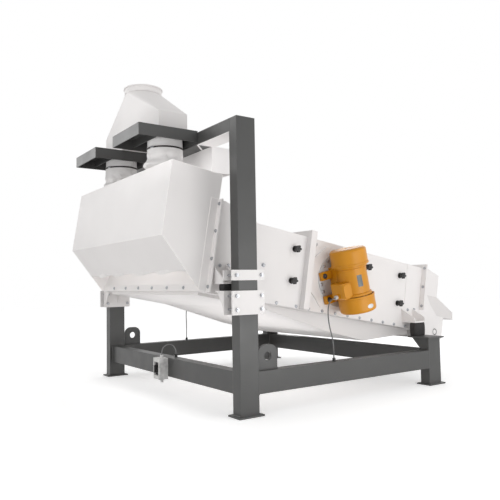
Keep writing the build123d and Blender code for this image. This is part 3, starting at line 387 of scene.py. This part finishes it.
def grid_mesh(name, rows, closed):
    """Mesh from rows of points. Points that fall together become one."""
    made = bmesh.new()
    join_rows(made, [[made.verts.new(p) for p in row] for row in rows], closed)
    bmesh.ops.remove_doubles(made, verts=made.verts, dist=SAME_POINT)
    return new_mesh(name, made)


def finish_shape(name, made, body, look, slot_name):
    mesh = new_mesh(name, made)
    piece = add_piece(name, mesh, body, look, slot_name)
    mesh.set_sharp_from_angle(angle=SHARP_ANGLE)
    return piece


# Cables: tubes along a smooth run. A motor's cable runs from the motor at one end to the stand at
# the other.
CABLE_SIDES = 12
CABLE_STEPS = 14


def smooth_run(route):
    """Points read from the smooth spline that has the route's points as its control points."""
    data = bpy.data.curves.new("route", "CURVE")
    data.dimensions = "3D"
    spline = data.splines.new("NURBS")
    spline.points.add(len(route) - 1)
    for point, place in zip(spline.points, route):
        point.co = (*place, 1.0)
    spline.order_u = 3
    spline.use_endpoint_u = True
    spline.resolution_u = CABLE_STEPS
    line = bpy.data.objects.new("route", data)
    mesh = bpy.data.meshes.new_from_object(line)
    points = [vert.co.copy() for vert in mesh.vertices]
    bpy.data.objects.remove(line)
    bpy.data.curves.remove(data)
    bpy.data.meshes.remove(mesh)
    return points


def cable(name, route, node, moving):
    points = smooth_run(route)
    aim = (points[1] - points[0]).normalized()
    side = aim.orthogonal().normalized()
    angles = [2 * pi * c / CABLE_SIDES for c in range(CABLE_SIDES)]
    rows = []
    for k, point in enumerate(points):
        before = points[max(k - 1, 0)]
        after = points[min(k + 1, len(points) - 1)]
        turn = aim.rotation_difference(after - before)
        side = turn @ side
        aim = turn @ aim
        other = aim.cross(side)
        rows.append([point + (side * cos(a) + other * sin(a)) * (CABLE_D / 2) for a in angles])
    rows = [[points[0]] * CABLE_SIDES, *rows, [points[-1]] * CABLE_SIDES]
    mesh = grid_mesh(name, rows, closed=True)
    piece = add_piece(name, mesh, None if moving else "stand", cable_jacket, "cable_grey")
    if moving:
        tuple(points[2])
        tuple(points[-CABLE_STEPS])
        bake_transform(piece)
    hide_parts(node)
    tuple(points[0])


def other_side(route):
    return [(x, -y, z) for x, y, z in route]


for side, route in zip(SIDES, (MOTOR_ROUTE, other_side(MOTOR_ROUTE))):
    cable("motor_cable_" + side, route, "cable_" + side, True)
cable("switch_cable", SWITCH_ROUTE, "cable_switch", False)

# Cloth sleeves: straight under the band, bunched into a roll over the spigot. Heights and widths
# of the roll, the tuck and the sag are shares of the sleeve's length, and depths are in metres.
SLEEVE_ROWS = 56
SLEEVE_COLUMNS = 144
SLEEVE_FOLDS = 9
SLEEVE_EASE = 0.0022
SLEEVE_LAP = 0.024
SLEEVE_LEAST_OUT = 0.0004
SLEEVE_FREE = (0.24, 0.76)
SLEEVE_LOOSE = (0.45, 0.48)
SLEEVE_LEVEL_AT = 0.55
SLEEVE_SLACK_SIDE = radians(150.0)
SAG_SPAN = (0.30, 0.30)
SAG_DEPTH = 0.010
ROLL_WIDTH = 0.19
TUCK_WIDTH = 0.13
FOLD_DEPTH = 0.0025
CREASE_DEPTH = 0.007
SLEEVE_LOOKS = {
    "right": {"roll": 0.36, "roll_out": 0.030, "tuck": 0.60, "tuck_in": 0.003, "seed": -3.1},
    "left": {"roll": 0.20, "roll_out": 0.020, "tuck": 0.39, "tuck_in": 0.014, "seed": 3.1},
}


def hump(value, middle, width):
    return max(0.0, 1 - ((value - middle) / width) ** 2) ** 2


def sleeve(side):
    low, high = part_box("sleeve_" + side)
    pipe_low, pipe_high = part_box("inlet_pipe_" + side)
    centre = (pipe_low + pipe_high) / 2
    radius = (pipe_high.x - pipe_low.x) / 2 + SLEEVE_EASE
    look = SLEEVE_LOOKS[side]
    seed = Vector((look["seed"], 7.7, 1.3))
    bottom = Vector(((low.x + high.x) / 2, centre.y, low.z + SLEEVE_LAP))
    top = Vector((centre.x, centre.y, high.z))
    rows = []
    for r in range(SLEEVE_ROWS + 1):
        t = r / SLEEVE_ROWS
        level = bottom.lerp(top, t)
        lean = INCLINE * (1 - min(1.0, t / SLEEVE_LEVEL_AT))
        free = hump(t, *SLEEVE_LOOSE)
        row = []
        for c in range(SLEEVE_COLUMNS):
            a = 2 * pi * c / SLEEVE_COLUMNS
            ray = Vector((cos(a), sin(a), 0.0))
            wander = noise.noise(ray * 1.6 + seed)
            loose = 0.35 + 0.65 * (0.5 + 0.5 * cos(a - SLEEVE_SLACK_SIDE))
            rise = t + 0.05 * noise.noise(ray * 2.3 + seed)
            fold = sin(SLEEVE_FOLDS * a + 4.0 * wander + 3.0 * t)
            crease = noise.noise(Vector((ray.x * 2.4, ray.y * 2.4, t * 7.0)) + seed)
            roll = hump(rise, look["roll"], ROLL_WIDTH)
            tuck = hump(rise, look["tuck"], TUCK_WIDTH)
            out = loose * (0.8 + 0.7 * wander) * look["roll_out"] * roll
            out += tuck * (0.3 * fold - 0.8) * look["tuck_in"]
            out += free * (FOLD_DEPTH * fold + CREASE_DEPTH * crease)
            if not SLEEVE_FREE[0] < t < SLEEVE_FREE[1]:
                out = max(SLEEVE_LEAST_OUT, out)
            sag = loose * hump(t, *SAG_SPAN) * SAG_DEPTH
            row.append(
                level + ray * (radius + out) - Vector((0, 0, sin(lean) * ray.x * radius + sag)))
        rows.append(row)
    mesh = grid_mesh("cloth_sleeve_" + side, rows, closed=True)
    piece = add_piece("cloth_sleeve_" + side, mesh, None, cloth, "sleeve_cloth")
    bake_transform(piece)
    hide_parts("sleeve_" + side)


for side in SIDES:
    sleeve(side)

# Dust flap inside the feed box's lower panel, its free edge in loose waves that die out at the
# ends.
FLAP_COLUMNS = 160
FLAP_ROWS = 14
FLAP_SIDE_GAP = 0.003
FLAP_TOP_GAP = 0.004
FLAP_EDGE_GAP = 0.002
FLAP_WAVE = 0.030
FLAP_TURNS = 15.0
FLAP_LAG = 1.6
FLAP_DIP = 0.004
FLAP_FLAT_END = 0.25


def dust_flap():
    low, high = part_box("feed_flap")
    edge_y = high.y - FLAP_SIDE_GAP
    upper = Vector((low.x + FLAP_TOP_GAP, 0, high.z))
    lower = Vector((high.x - FLAP_EDGE_GAP, 0, low.z + FLAP_EDGE_GAP))
    inward = (lower - upper).normalized().cross(Y_AXIS)
    rows = []
    for r in range(FLAP_ROWS + 1):
        t = r / FLAP_ROWS
        row = []
        for c in range(FLAP_COLUMNS + 1):
            y = -edge_y + 2 * edge_y * c / FLAP_COLUMNS
            wander = noise.noise(Vector((y * 1.4, 0.7, 2.2)))
            swing = sin(y * FLAP_TURNS + 4.0 * wander - FLAP_LAG * t) * 0.5 + 0.5
            depth = FLAP_WAVE * t * t * swing * min(1.0, (edge_y - abs(y)) / FLAP_FLAT_END)
            dip = FLAP_DIP * t * (0.5 - swing)
            row.append(upper.lerp(lower, t) + Vector((0, y, dip)) - inward * depth)
        rows.append(row)
    mesh = grid_mesh("dust_flap", rows, closed=False)
    piece = add_piece("dust_flap", mesh, "sieve_body", cloth, "flap_cloth")
    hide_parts("feed_flap")


dust_flap()

# Turned and swept shapes.
PLATE_EASE = 0.25
CORNER_STEPS = 4
BEAD_PITCH = 0.006
BEAD_SWELL = 0.16
BEAD_RIPPLE = 0.07
BEAD_GRAIN = 70.0


def axes_about(axis):
    axis = axis.normalized()
    guide = Y_AXIS if abs(axis.y) < 0.9 else X_AXIS
    side = axis.cross(guide).normalized()
    return side, axis.cross(side), axis


def turned(made, place, axis, profile, count):
    """Rings of (radius, height) along the axis, closed at both ends; a ring of six is a hexagon."""
    side, other, axis = axes_about(axis)
    rings = []
    for radius, height in profile:
        ring = []
        for k in range(count):
            a = 2 * pi * k / count
            ray = side * cos(a) + other * sin(a)
            ring.append(made.verts.new(place + axis * height + ray * radius))
        rings.append(ring)
    skin(made, rings)


def rounded_plate(made, place, across, along, out, size, depth, corner):
    """Plate with rounded corners and an eased front edge, its back at the place given."""
    width, height = size
    loops = []
    for inset, rise in ((0.0, 0.0), (0.0, (1 - PLATE_EASE) * depth), (PLATE_EASE * depth, depth)):
        loop = []
        for quarter, (sx, sy) in enumerate(((1, 1), (-1, 1), (-1, -1), (1, -1))):
            for k in range(CORNER_STEPS + 1):
                a = (quarter + k / CORNER_STEPS) * pi / 2
                x = sx * (width / 2 - corner) + (corner - inset) * cos(a)
                y = sy * (height / 2 - corner) + (corner - inset) * sin(a)
                loop.append(made.verts.new(place + across * x + along * y + out * rise))
        loops.append(loop)
    join_rows(made, loops)
    made.faces.new(loops[-1])


def bead(made, start, end, section):
    """A section of offsets carried from start to end, swelling a little on the way."""
    steps = max(2, round((end - start).length / BEAD_PITCH))
    rows = []
    for k in range(steps + 1):
        place = start.lerp(end, k / steps)
        swell = 1 + BEAD_SWELL * noise.noise(place * BEAD_GRAIN) + BEAD_RIPPLE * (k % 2)
        rows.append([made.verts.new(place + offset * swell) for offset in section])
    join_rows(made, rows, closed=False)


def solids_of(node):
    """The separate solids of a node, as lists of merged corner points and of (normal, area)."""
    made = bmesh.new()
    made.from_mesh(nodes[node].data)
    bmesh.ops.remove_doubles(made, verts=made.verts, dist=SAME_POINT)
    left = set(made.verts)
    found = []
    while left:
        grown = [left.pop()]
        for vert in grown:
            for edge in vert.link_edges:
                other = edge.other_vert(vert)
                if other in left:
                    left.discard(other)
                    grown.append(other)
        faces = {face for vert in grown for face in vert.link_faces}
        found.append((
            [vert.co.copy() for vert in grown],
            [(face.normal.copy(), face.calc_area()) for face in faces],
        ))
    made.free()
    return found


def box_round(points):
    """Lowest and highest corner of the box round the points."""
    low = Vector(min(p[k] for p in points) for k in range(3))
    high = Vector(max(p[k] for p in points) for k in range(3))
    return low, high


def away_from_middle(y):
    return Vector((0, 1 if y > 0 else -1, 0))


# Bolts with washers and eased heads, at the places of the solids' plain heads. Radii and the
# washer are shares of the width across flats, and heights are shares of the head's depth.
WASHER = 0.13
WASHER_R = 0.70
STUD_R = 0.30
STUD_TIP_R = 0.24
HEAD_EASE = 0.86
STUD_EDGE = 1.12
STUD_TIP = 1.2
FOOT_BOLT_Y = 0.935


def hex_bolt(made, place, axis, across, depth):
    washer = WASHER * across
    corner = across / ROOT_3
    rim = WASHER_R * across
    stud, tip = STUD_R * across, STUD_TIP_R * across
    turned(made, place, axis, [(rim, 0.0), (rim, 0.7 * washer), (rim - 0.4 * washer, washer)], 20)
    turned(
        made, place, axis,
        [(corner, washer), (corner, HEAD_EASE * depth), (HEAD_EASE * corner, depth)], 6)
    turned(
        made, place, axis, [(stud, depth), (stud, STUD_EDGE * depth), (tip, STUD_TIP * depth)], 12)


def body_bolts():
    """The motors' foot bolts, which lie furthest out, are dark; the rest are bright."""
    bolts = bmesh.new()
    foot_bolts = bmesh.new()
    for points, faces in solids_of("body_bolts"):
        areas = {}
        for normal, area in faces:
            key = tuple(round(abs(c), 2) for c in normal)
            total, _ = areas.get(key, (0.0, None))
            areas[key] = (total + area, normal)
        axis = max(areas.values(), key=lambda pair: pair[0])[1]
        centre = sum(points, Vector()) / len(points)
        out = away_from_middle(centre.y) if abs(axis.y) > 0.9 else -ALONG
        heights = [(p - centre).dot(out) for p in points]
        depth = max(heights) - min(heights)
        corner = max(((p - centre) - out * (p - centre).dot(out)).length for p in points)
        made = foot_bolts if abs(centre.y) > FOOT_BOLT_Y and out.y else bolts
        hex_bolt(made, centre + out * min(heights), out, corner * ROOT_3, depth)
    for name, made, look in (("bolts", bolts, steel), ("motor_bolts", foot_bolts, dark_steel)):
        piece = finish_shape(name, made, "sieve_body", look, "steel")
        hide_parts("body_bolts")


body_bolts()

# Motors: place and size of the housing, in its own axes, and profiles of (radius, height). The
# lid's screws are placed by shares of its size.
MOTOR_PLACE = Vector((0.1088, -1.085, 0.8906))
MOTOR_HALF = 0.250
COVER_R = 0.1425
COVER_LENGTH = 0.130
WAIST_R = 0.118
SHOULDER_GAP = 0.004
SHOULDER = [
    (WAIST_R, -0.020), (WAIST_R + 0.010, -0.014), (WAIST_R + 0.013, 0.002), (WAIST_R, 0.006)]
DISC_R = 0.214
DISC_SEAT = 0.155
DISC_RIM = [(DISC_R + 0.0006, -0.0065), (DISC_R + 0.0006, 0.0), (DISC_R - 0.001, 0.0008)]
END_RING = [
    (0.118, -0.001), (0.118, 0.0012), (0.112, 0.0018), (0.046, 0.0018), (0.044, -0.0005)]
END_SCREW = [(0.0085, 0.0), (0.0085, 0.0026), (0.0060, 0.0036), (0.0035, 0.0030)]
END_SCREW_CIRCLE = 0.082
TERMINAL_FACE = 0.066
TERMINAL_MIDDLE = Vector((-0.141, 0.0, -0.057))
TERMINAL_LID = (0.082, 0.108)
LID_DEPTH = 0.007
LID_CORNER = 0.010
LID_SCREW = [(0.0052, 0.0), (0.0052, 0.0022), (0.0040, 0.0036)]
LID_SCREWS_WIDE = (-0.40, 0.40)
LID_SCREWS_HIGH = (-0.42, 0.42)
GLAND_PLACE = Vector((-0.186, 0.0, -0.092))
GLAND_NUT = [(0.0215, 0.0), (0.0215, 0.011), (0.0190, 0.013)]
GLAND_CAP = [(0.0165, 0.013), (0.0165, 0.029), (0.0120, 0.0335)]
NAME_PLATE_TURN = radians(-108.0)
NAME_PLATE_SPREAD = radians(20.0)
NAME_PLATE_HEIGHT = 0.090
NAME_PLATE_PROUD = 0.0009
NAME_PLATE_THICK = 0.0012
NAME_PLATE_ROWS = 6
NAME_PLATE_COLUMNS = 8
BADGE_TURN = radians(-91.0)
BADGE_RISE = -0.206
BADGE_SIZE = (0.060, 0.033)
BADGE_PROUD = 0.0008
BADGE_RINGS = 4
BADGE_SIDES = 32


def name_plate(place):
    """Bare curved plate on the motor's waist."""
    reach = WAIST_R + NAME_PLATE_PROUD
    rows = []
    for r in range(NAME_PLATE_ROWS + 1):
        z = NAME_PLATE_HEIGHT * (r / NAME_PLATE_ROWS - 0.5)
        row = []
        for c in range(NAME_PLATE_COLUMNS + 1):
            a = NAME_PLATE_TURN + NAME_PLATE_SPREAD * (c / NAME_PLATE_COLUMNS - 0.5)
            row.append(place(reach * cos(a), reach * sin(a), z))
        rows.append(row)
    plate = bmesh.new()
    plate.from_mesh(grid_mesh("bare_plate", rows, closed=False))
    bmesh.ops.solidify(plate, geom=plate.faces[:], thickness=NAME_PLATE_THICK)
    return plate


def oval_badge(place):
    """Bare oval on the motor's lower cover."""
    wide, high = BADGE_SIZE
    reach = COVER_R + BADGE_PROUD
    rows = []
    for r in range(BADGE_RINGS + 1):
        share = r / BADGE_RINGS
        row = []
        for c in range(BADGE_SIDES):
            around = 2 * pi * c / BADGE_SIDES
            a = BADGE_TURN + share * wide / 2 * cos(around) / COVER_R
            z = BADGE_RISE + share * high / 2 * sin(around)
            row.append(place(reach * cos(a), reach * sin(a), z))
        rows.append(row)
    badge = bmesh.new()
    badge.from_mesh(grid_mesh("bare_badge", rows, closed=True))
    return badge


def motor_dressing(side):
    sign = -1 if side == "right" else 1
    centre = Vector((MOTOR_PLACE.x, sign * abs(MOTOR_PLACE.y), MOTOR_PLACE.z))
    outward = Vector((0, sign, 0))

    def place(x, y, z):
        return centre + SHAFT_SIDE * x - outward * y + SHAFT_UP * z

    orange = bmesh.new()
    metal = bmesh.new()
    face = place(TERMINAL_MIDDLE.x, -TERMINAL_FACE, TERMINAL_MIDDLE.z)
    rounded_plate(
        orange, face, SHAFT_SIDE, SHAFT_UP, outward, TERMINAL_LID, LID_DEPTH, LID_CORNER)
    wide, high = TERMINAL_LID
    for x in LID_SCREWS_WIDE:
        for z in LID_SCREWS_HIGH:
            spot = face + SHAFT_SIDE * (x * wide) + SHAFT_UP * (z * high) + outward * LID_DEPTH
            turned(orange, spot, outward, LID_SCREW, 14)
    gland = place(*GLAND_PLACE)
    turned(orange, gland, -SHAFT_SIDE, GLAND_NUT, 6)
    turned(metal, gland, -SHAFT_SIDE, GLAND_CAP, 20)
    for end in (-1, 1):
        middle = place(0, 0, end * MOTOR_HALF)
        turned(orange, middle, SHAFT_UP * end, END_RING, 40)
        for k in range(4):
            a = pi / 4 + k * pi / 2
            spot = middle + (SHAFT_SIDE * cos(a) + outward * sin(a)) * END_SCREW_CIRCLE
            turned(metal, spot, SHAFT_UP * end, END_SCREW, 16)
    for end in (-1, 1):
        rim = place(0, 0, end * (MOTOR_HALF - COVER_LENGTH - SHOULDER_GAP))
        turned(orange, rim, SHAFT_UP * end, SHOULDER, 48)
    turned(metal, place(0, DISC_SEAT, 0), outward, DISC_RIM, 72)
    for name, made, look, slot_name in (
        ("bare_badge_", oval_badge(place), disc_steel, "steel"),
        ("motor_trim_", orange, orange_paint, "motor_orange"),
        ("motor_metal_", metal, disc_steel, "steel"),
        ("bare_plate_", name_plate(place), plate_grey, "steel"),
    ):
        finish_shape(name + side, made, "sieve_body", look, slot_name)


for side in SIDES:
    motor_dressing(side)

# Rubber springs: blocks that swell a little between their seats.
SPRING_ROWS = 14
SPRING_SIDE = 10
SPRING_SQUARENESS = 9
SPRING_END_DRAW = 0.055
SPRING_DRAW = 0.02


def rubber_springs(name, solids):
    made = bmesh.new()
    power = SPRING_SQUARENESS
    boxes = [box_round(points) for points, _ in solids]
    for low, high in boxes:
        middle = (low + high) / 2
        half = (high - low) / 2
        rows = []
        for r in range(SPRING_ROWS + 1):
            t = 2 * r / SPRING_ROWS - 1
            swell = 1.0 - SPRING_END_DRAW * t ** 4 - SPRING_DRAW * t ** 2
            row = []
            for k in range(4 * SPRING_SIDE):
                a = 2 * pi * (k + 0.5) / (4 * SPRING_SIDE)
                reach = (abs(cos(a)) ** power + abs(sin(a)) ** power) ** (-1 / power)
                row.append(made.verts.new((
                    middle.x + half.x * swell * reach * cos(a),
                    middle.y + half.y * swell * reach * sin(a),
                    middle.z + half.z * t)))
            rows.append(row)
        skin(made, rows)
    piece = finish_shape(name, made, None, rubber, "rubber")
    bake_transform(piece)
    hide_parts("rubber_springs")


springs = solids_of("rubber_springs")
rubber_springs("front_springs", [s for s in springs if s[0][0].x < 0])
rubber_springs("rear_springs", [s for s in springs if s[0][0].x >= 0])

# Weld beads of the stand. The bulge, the shoulder and the rise are shares of the bead's size.
BEAD = 0.0055
CORNER_BULGE = 0.62
FLUSH_SHOULDER = 0.4
FLUSH_RISE = 0.22
FOOT_OVERHANG = 0.025
FOOT_PLATE = 0.012
REAR_LEG_DEPTH = 0.150


def corner_bead(made, start, end, first, second):
    bead(made, start, end, [first * BEAD, (first + second) * (CORNER_BULGE * BEAD), second * BEAD])


def flush_bead(made, start, end, along, out):
    rise = out * (FLUSH_RISE * BEAD)
    shoulder = FLUSH_SHOULDER * BEAD
    bead(made, start, end, [
        along * -BEAD, along * -shoulder + rise, along * shoulder + rise, along * BEAD])


def loop_beads(made, low, high, level, normal_up):
    """Beads round an upright tube where it meets a plate."""
    corners = [(low.x, low.y), (high.x, low.y), (high.x, high.y), (low.x, high.y)]
    outs = [-Y_AXIS, X_AXIS, Y_AXIS, -X_AXIS]
    for k, out in enumerate(outs):
        a = Vector((*corners[k], level))
        b = Vector((*corners[(k + 1) % 4], level))
        corner_bead(made, a, b, out, normal_up)


def foot_welds(made):
    for node in ("post_right", "post_left", "rear_leg_right", "rear_leg_left"):
        low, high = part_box(node)
        edge = Vector((FOOT_OVERHANG, FOOT_OVERHANG, 0))
        if node.startswith("rear"):
            rail_low, rail_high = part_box("side_rail_" + node.split("_")[-1])
            low = Vector((rail_high.x, rail_low.y, low.z))
            high = Vector((rail_high.x + REAR_LEG_DEPTH, rail_high.y, high.z))
        else:
            low, high = low + edge, high - edge
        loop_beads(made, low, high, FOOT_PLATE, Z_AXIS)


def rail_welds(made):
    for side in SIDES:
        low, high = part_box("side_rail_" + side)
        for x, out in ((low.x, X_AXIS), (high.x, -X_AXIS)):
            for z, up in ((low.z, -Z_AXIS), (high.z, Z_AXIS)):
                corner_bead(made, Vector((x, low.y, z)), Vector((x, high.y, z)), out, up)
            for y, turn in ((low.y, -Y_AXIS), (high.y, Y_AXIS)):
                flush_bead(made, Vector((x, y, low.z)), Vector((x, y, high.z)), X_AXIS, turn)
    for node in ("front_rail", "rear_rail"):
        low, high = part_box(node)
        for y, out in ((low.y, Y_AXIS), (high.y, -Y_AXIS)):
            for z, up in ((low.z, -Z_AXIS), (high.z, Z_AXIS)):
                corner_bead(made, Vector((low.x, y, z)), Vector((high.x, y, z)), out, up)
            for x, turn in ((low.x, -X_AXIS), (high.x, X_AXIS)):
                corner_bead(made, Vector((x, y, low.z)), Vector((x, y, high.z)), out, turn)


def beam_welds(made):
    low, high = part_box("top_beam")
    for y, out in ((low.y, Y_AXIS), (high.y, -Y_AXIS)):
        corner_bead(made, Vector((low.x, y, low.z)), Vector((high.x, y, low.z)), out, -Z_AXIS)
        for x, turn in ((low.x, -X_AXIS), (high.x, X_AXIS)):
            flush_bead(made, Vector((x, y, low.z)), Vector((x, y, high.z)), Y_AXIS, turn)
    for points, _ in solids_of("lifting_lugs"):
        low, high = box_round(points)
        for y, out in ((low.y, -Y_AXIS), (high.y, Y_AXIS)):
            corner_bead(made, Vector((low.x, y, low.z)), Vector((high.x, y, low.z)), out, Z_AXIS)


def stand_welds():
    made = bmesh.new()
    foot_welds(made)
    rail_welds(made)
    beam_welds(made)
    finish_shape("stand_welds", made, "stand", stand_paint, "stand_grey")


stand_welds()

# Sampling hole's cover and its seal.
SAMPLE_PLACE = Vector((1.322, -0.9065, 0.4025))
SAMPLE_R = 0.030
SAMPLE_COVER = [
    (SAMPLE_R - 0.008, -0.003), (SAMPLE_R - 0.008, 0.0015), (SAMPLE_R - 0.010, 0.0025)]
SAMPLE_SEAL = [
    (SAMPLE_R - 0.0004, -0.0034), (SAMPLE_R - 0.0004, 0.0004), (SAMPLE_R - 0.0070, 0.0010)]


def sampling_hole():
    for name, profile, look, slot_name in (
        ("sample_cover", SAMPLE_COVER, white_paint, "white_paint"),
        ("sample_seal", SAMPLE_SEAL, plate_grey, "steel"),
    ):
        made = bmesh.new()
        turned(made, SAMPLE_PLACE, -Y_AXIS, profile, 40)
        finish_shape(name, made, "sieve_body", look, slot_name)


sampling_hole()

# Strips of sealant on the mitres under the top beam.
MITRE_OUTER = 0.655
MITRE_INNER = 0.520
MITRE_START = 0.002
MITRE_RUN = 0.118
SEALANT_HALF = 0.007
SEALANT_PROUD = 0.002


def mitre_sealant():
    sealant = bmesh.new()
    low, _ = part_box("top_beam")
    down = Z_AXIS * SEALANT_PROUD
    for sign in (-1, 1):
        start = Vector((low.x + MITRE_START, sign * MITRE_OUTER, low.z))
        end = Vector((low.x + MITRE_RUN, sign * MITRE_INNER, low.z))
        across = (end - start).cross(Z_AXIS).normalized() * SEALANT_HALF
        bead(sealant, start, end, [-across, across * -0.5 - down, across * 0.5 - down, across])
    finish_shape("mitre_sealant", sealant, "stand", white_paint, "white_paint")


mitre_sealant()

# Isolator switch: a rim of four plates, each (y, z, size), round a black recess.
SWITCH_RECESS = 0.012
RIM_PLATES = [
    (0.0, 0.068, (0.108, 0.030)), (0.0, -0.068, (0.108, 0.030)),
    (0.046, 0.0, (0.016, 0.112)), (-0.046, 0.0, (0.016, 0.112)),
]
RIM_DEPTH = 0.003
RIM_CORNER = 0.004
LINER_SIZE = (0.0715, 0.1015)
LINER_DEPTH = 0.00015
LINER_CORNER = 0.002


def switch_trim():
    low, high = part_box("switch_box")
    handle_low, handle_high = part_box("switch_handle")
    middle = Vector((low.x, (low.y + high.y) / 2, (handle_low.z + handle_high.z) / 2))
    rim = bmesh.new()
    for y, z, size in RIM_PLATES:
        spot = middle + Vector((0, y, z))
        rounded_plate(rim, spot, Y_AXIS, Z_AXIS, -X_AXIS, size, RIM_DEPTH, RIM_CORNER)
    finish_shape("switch_rim", rim, "stand", rim_plastic, "box_grey")
    liner = bmesh.new()
    spot = middle + Vector((SWITCH_RECESS, 0, 0))
    rounded_plate(liner, spot, Y_AXIS, Z_AXIS, -X_AXIS, LINER_SIZE, LINER_DEPTH, LINER_CORNER)
    finish_shape("switch_liner", liner, "stand", black_plastic, "black_plastic")


switch_trim()

# Clips of the sleeve bands, each with its screw.
CLIP_TURN = radians(200.0)
CLIP_SIZE = (0.024, 0.015)
CLIP_DEPTH = 0.009
CLIP_CORNER = 0.003
CLIP_BITE = 0.0004
CLIP_SCREW = [(0.0045, 0.0), (0.0045, 0.006), (0.0035, 0.007)]
CLIP_SCREW_OUT = 0.005


def band_clips():
    clips = bmesh.new()
    out = Vector((cos(CLIP_TURN), sin(CLIP_TURN), 0))
    along = Vector((-sin(CLIP_TURN), cos(CLIP_TURN), 0))
    for points, _ in solids_of("sleeve_bands"):
        low, high = box_round(points)
        radius = (high.x - low.x) / 2
        spot = (low + high) / 2 + out * (radius - CLIP_BITE)
        rounded_plate(clips, spot, along, Z_AXIS, out, CLIP_SIZE, CLIP_DEPTH, CLIP_CORNER)
        screw = spot + along * (CLIP_SIZE[0] / 2) + out * CLIP_SCREW_OUT
        turned(clips, screw, along, CLIP_SCREW, 6)
    finish_shape("band_clips", clips, "stand", steel, "steel")


band_clips()

# Caps on the star knobs.
KNOB_CAP = [(0.0105, -0.002), (0.0105, 0.0010), (0.0085, 0.0026), (0.0040, 0.0032)]


def knob_caps():
    for name in sorted(nodes):
        if name.startswith("knob_"):
            low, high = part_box(name)
            middle = (low + high) / 2
            face = Vector((middle.x, high.y if middle.y > 0 else low.y, middle.z))
            cap = bmesh.new()
            turned(cap, face, away_from_middle(middle.y), KNOB_CAP, 24)
            finish_shape(name + "_cap", cap, name, black_plastic, "black_plastic")


knob_caps()

# Floor, background and light. The sky's strengths are those at the horizon and high up, and the
# floor's lift is the light it gives off to rays that see the background.
FLOOR_SIZE = 40.0
FLOOR_ROUGH = 0.9
FLOOR_LIFT = 0.36
SKY = (0.88, 0.64)
SKY_HIGH = 0.9
GLOSS_ONLY = "glint"
# Name, place, aim, size in metres and power in watts.
LAMPS = (
    ("key", (-5.0, -1.6, 1.75), (-1.0, -0.3, 1.75), (1.6, 1.6), 11.0),
    ("low", (-4.4, -1.6, 0.4), (-1.0, 0.0, 1.1), (1.4, 1.4), 6.0),
    ("fill", (2.4, -5.2, 1.0), (0.7, -0.9, 0.8), (3.0, 3.0), 32.0),
    ("under", (0.1, -3.2, 0.25), (0.1, -0.5, 0.7), (1.4, 1.4), 19.0),
    (GLOSS_ONLY, (-3.0, 2.5, 3.0), (-1.2, -0.6, 1.95), (2.4, 2.4), 32.0),
    ("back", (4.6, 3.4, 2.2), (0.4, 0.0, 0.9), (3.0, 3.0), 60.0),
    ("inside", (-1.14, 0.0, 1.32), (-1.08, 0.0, 0.9), (1.5, 0.12), 3.2),
    ("gantry", (-1.75, -0.75, 1.74), (-1.25, -0.6, 2.61), (1.4, 0.15), 1.6),
    ("hood", (-1.03, 0.0, 1.69), (-0.905, 0.0, 1.85), (2.0, 0.05), 0.72),
    ("belly", (-0.55, -0.15, 0.32), (-0.55, -0.15, 1.0), (1.3, 1.3), 3.4),
)


def background_rays(tree):
    """One for rays that see the background: from the camera, off gloss and through glass."""
    path = add_node(tree, "ShaderNodeLightPath")
    seen = path.outputs["Is Camera Ray"]
    for name in ("Is Glossy Ray", "Is Transmission Ray"):
        both = add_node(tree, "ShaderNodeMath", operation="MAXIMUM")
        tree.links.new(seen, both.inputs[0])
        tree.links.new(path.outputs[name], both.inputs[1])
        seen = both.outputs[0]
    return seen


def lay_floor():
    bpy.ops.mesh.primitive_plane_add(size=FLOOR_SIZE, location=(0, 0, 0))
    floor = bpy.context.object
    floor.name = "floor"
    made, tree, shader = material("floor_white")
    shader.inputs["Base Color"].default_value = (*FLOOR, 1)
    shader.inputs["Roughness"].default_value = FLOOR_ROUGH
    shader.inputs["Emission Color"].default_value = (1, 1, 1, 1)
    lift = add_node(tree, "ShaderNodeMath", operation="MULTIPLY")
    lift.inputs[1].default_value = FLOOR_LIFT
    tree.links.new(background_rays(tree), lift.inputs[0])
    tree.links.new(lift.outputs[0], shader.inputs["Emission Strength"])
    floor.data.materials.append(made)
    floor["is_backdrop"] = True


def light_world():
    world = bpy.data.worlds.new("studio")
    bpy.context.scene.world = world
    world.use_nodes = True
    tree = world.node_tree
    ground = tree.nodes["Background"]
    ground.inputs["Color"].default_value = (1, 1, 1, 1)
    spot = add_node(tree, "ShaderNodeTexCoord")
    upward = add_node(tree, "ShaderNodeSeparateXYZ")
    tree.links.new(spot.outputs["Generated"], upward.inputs[0])
    light = add_node(tree, "ShaderNodeMix", data_type="FLOAT")
    tree.links.new(background_rays(tree), light.inputs["Factor"])
    sky = span(tree, upward.outputs["Z"], 0.0, SKY_HIGH, *SKY)
    tree.links.new(sky, light.inputs[FLOAT_A])
    light.inputs[FLOAT_B].default_value = 1.0
    tree.links.new(light.outputs[0], ground.inputs["Strength"])


def hang_lamps():
    for name, place, aim, size, power in LAMPS:
        data = bpy.data.lights.new(name, "AREA")
        data.shape = "RECTANGLE"
        data.size, data.size_y = size
        data.energy = power
        lamp = bpy.data.objects.new(name, data)
        turn = (Vector(place) - Vector(aim)).to_track_quat("Z", "Y").to_matrix()
        lamp.matrix_world = Matrix.Translation(place) @ turn.to_4x4()
        lamp.visible_camera = False
        lamp.visible_diffuse = name != GLOSS_ONLY
        bpy.context.scene.collection.objects.link(lamp)


lay_floor()
light_world()
hang_lamps()
bpy.context.scene.view_settings.view_transform = "Standard"

boxes = {"cad": cad_box, "visual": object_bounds()}
{k: [list(corner) for corner in box] for k, box in boxes.items()}
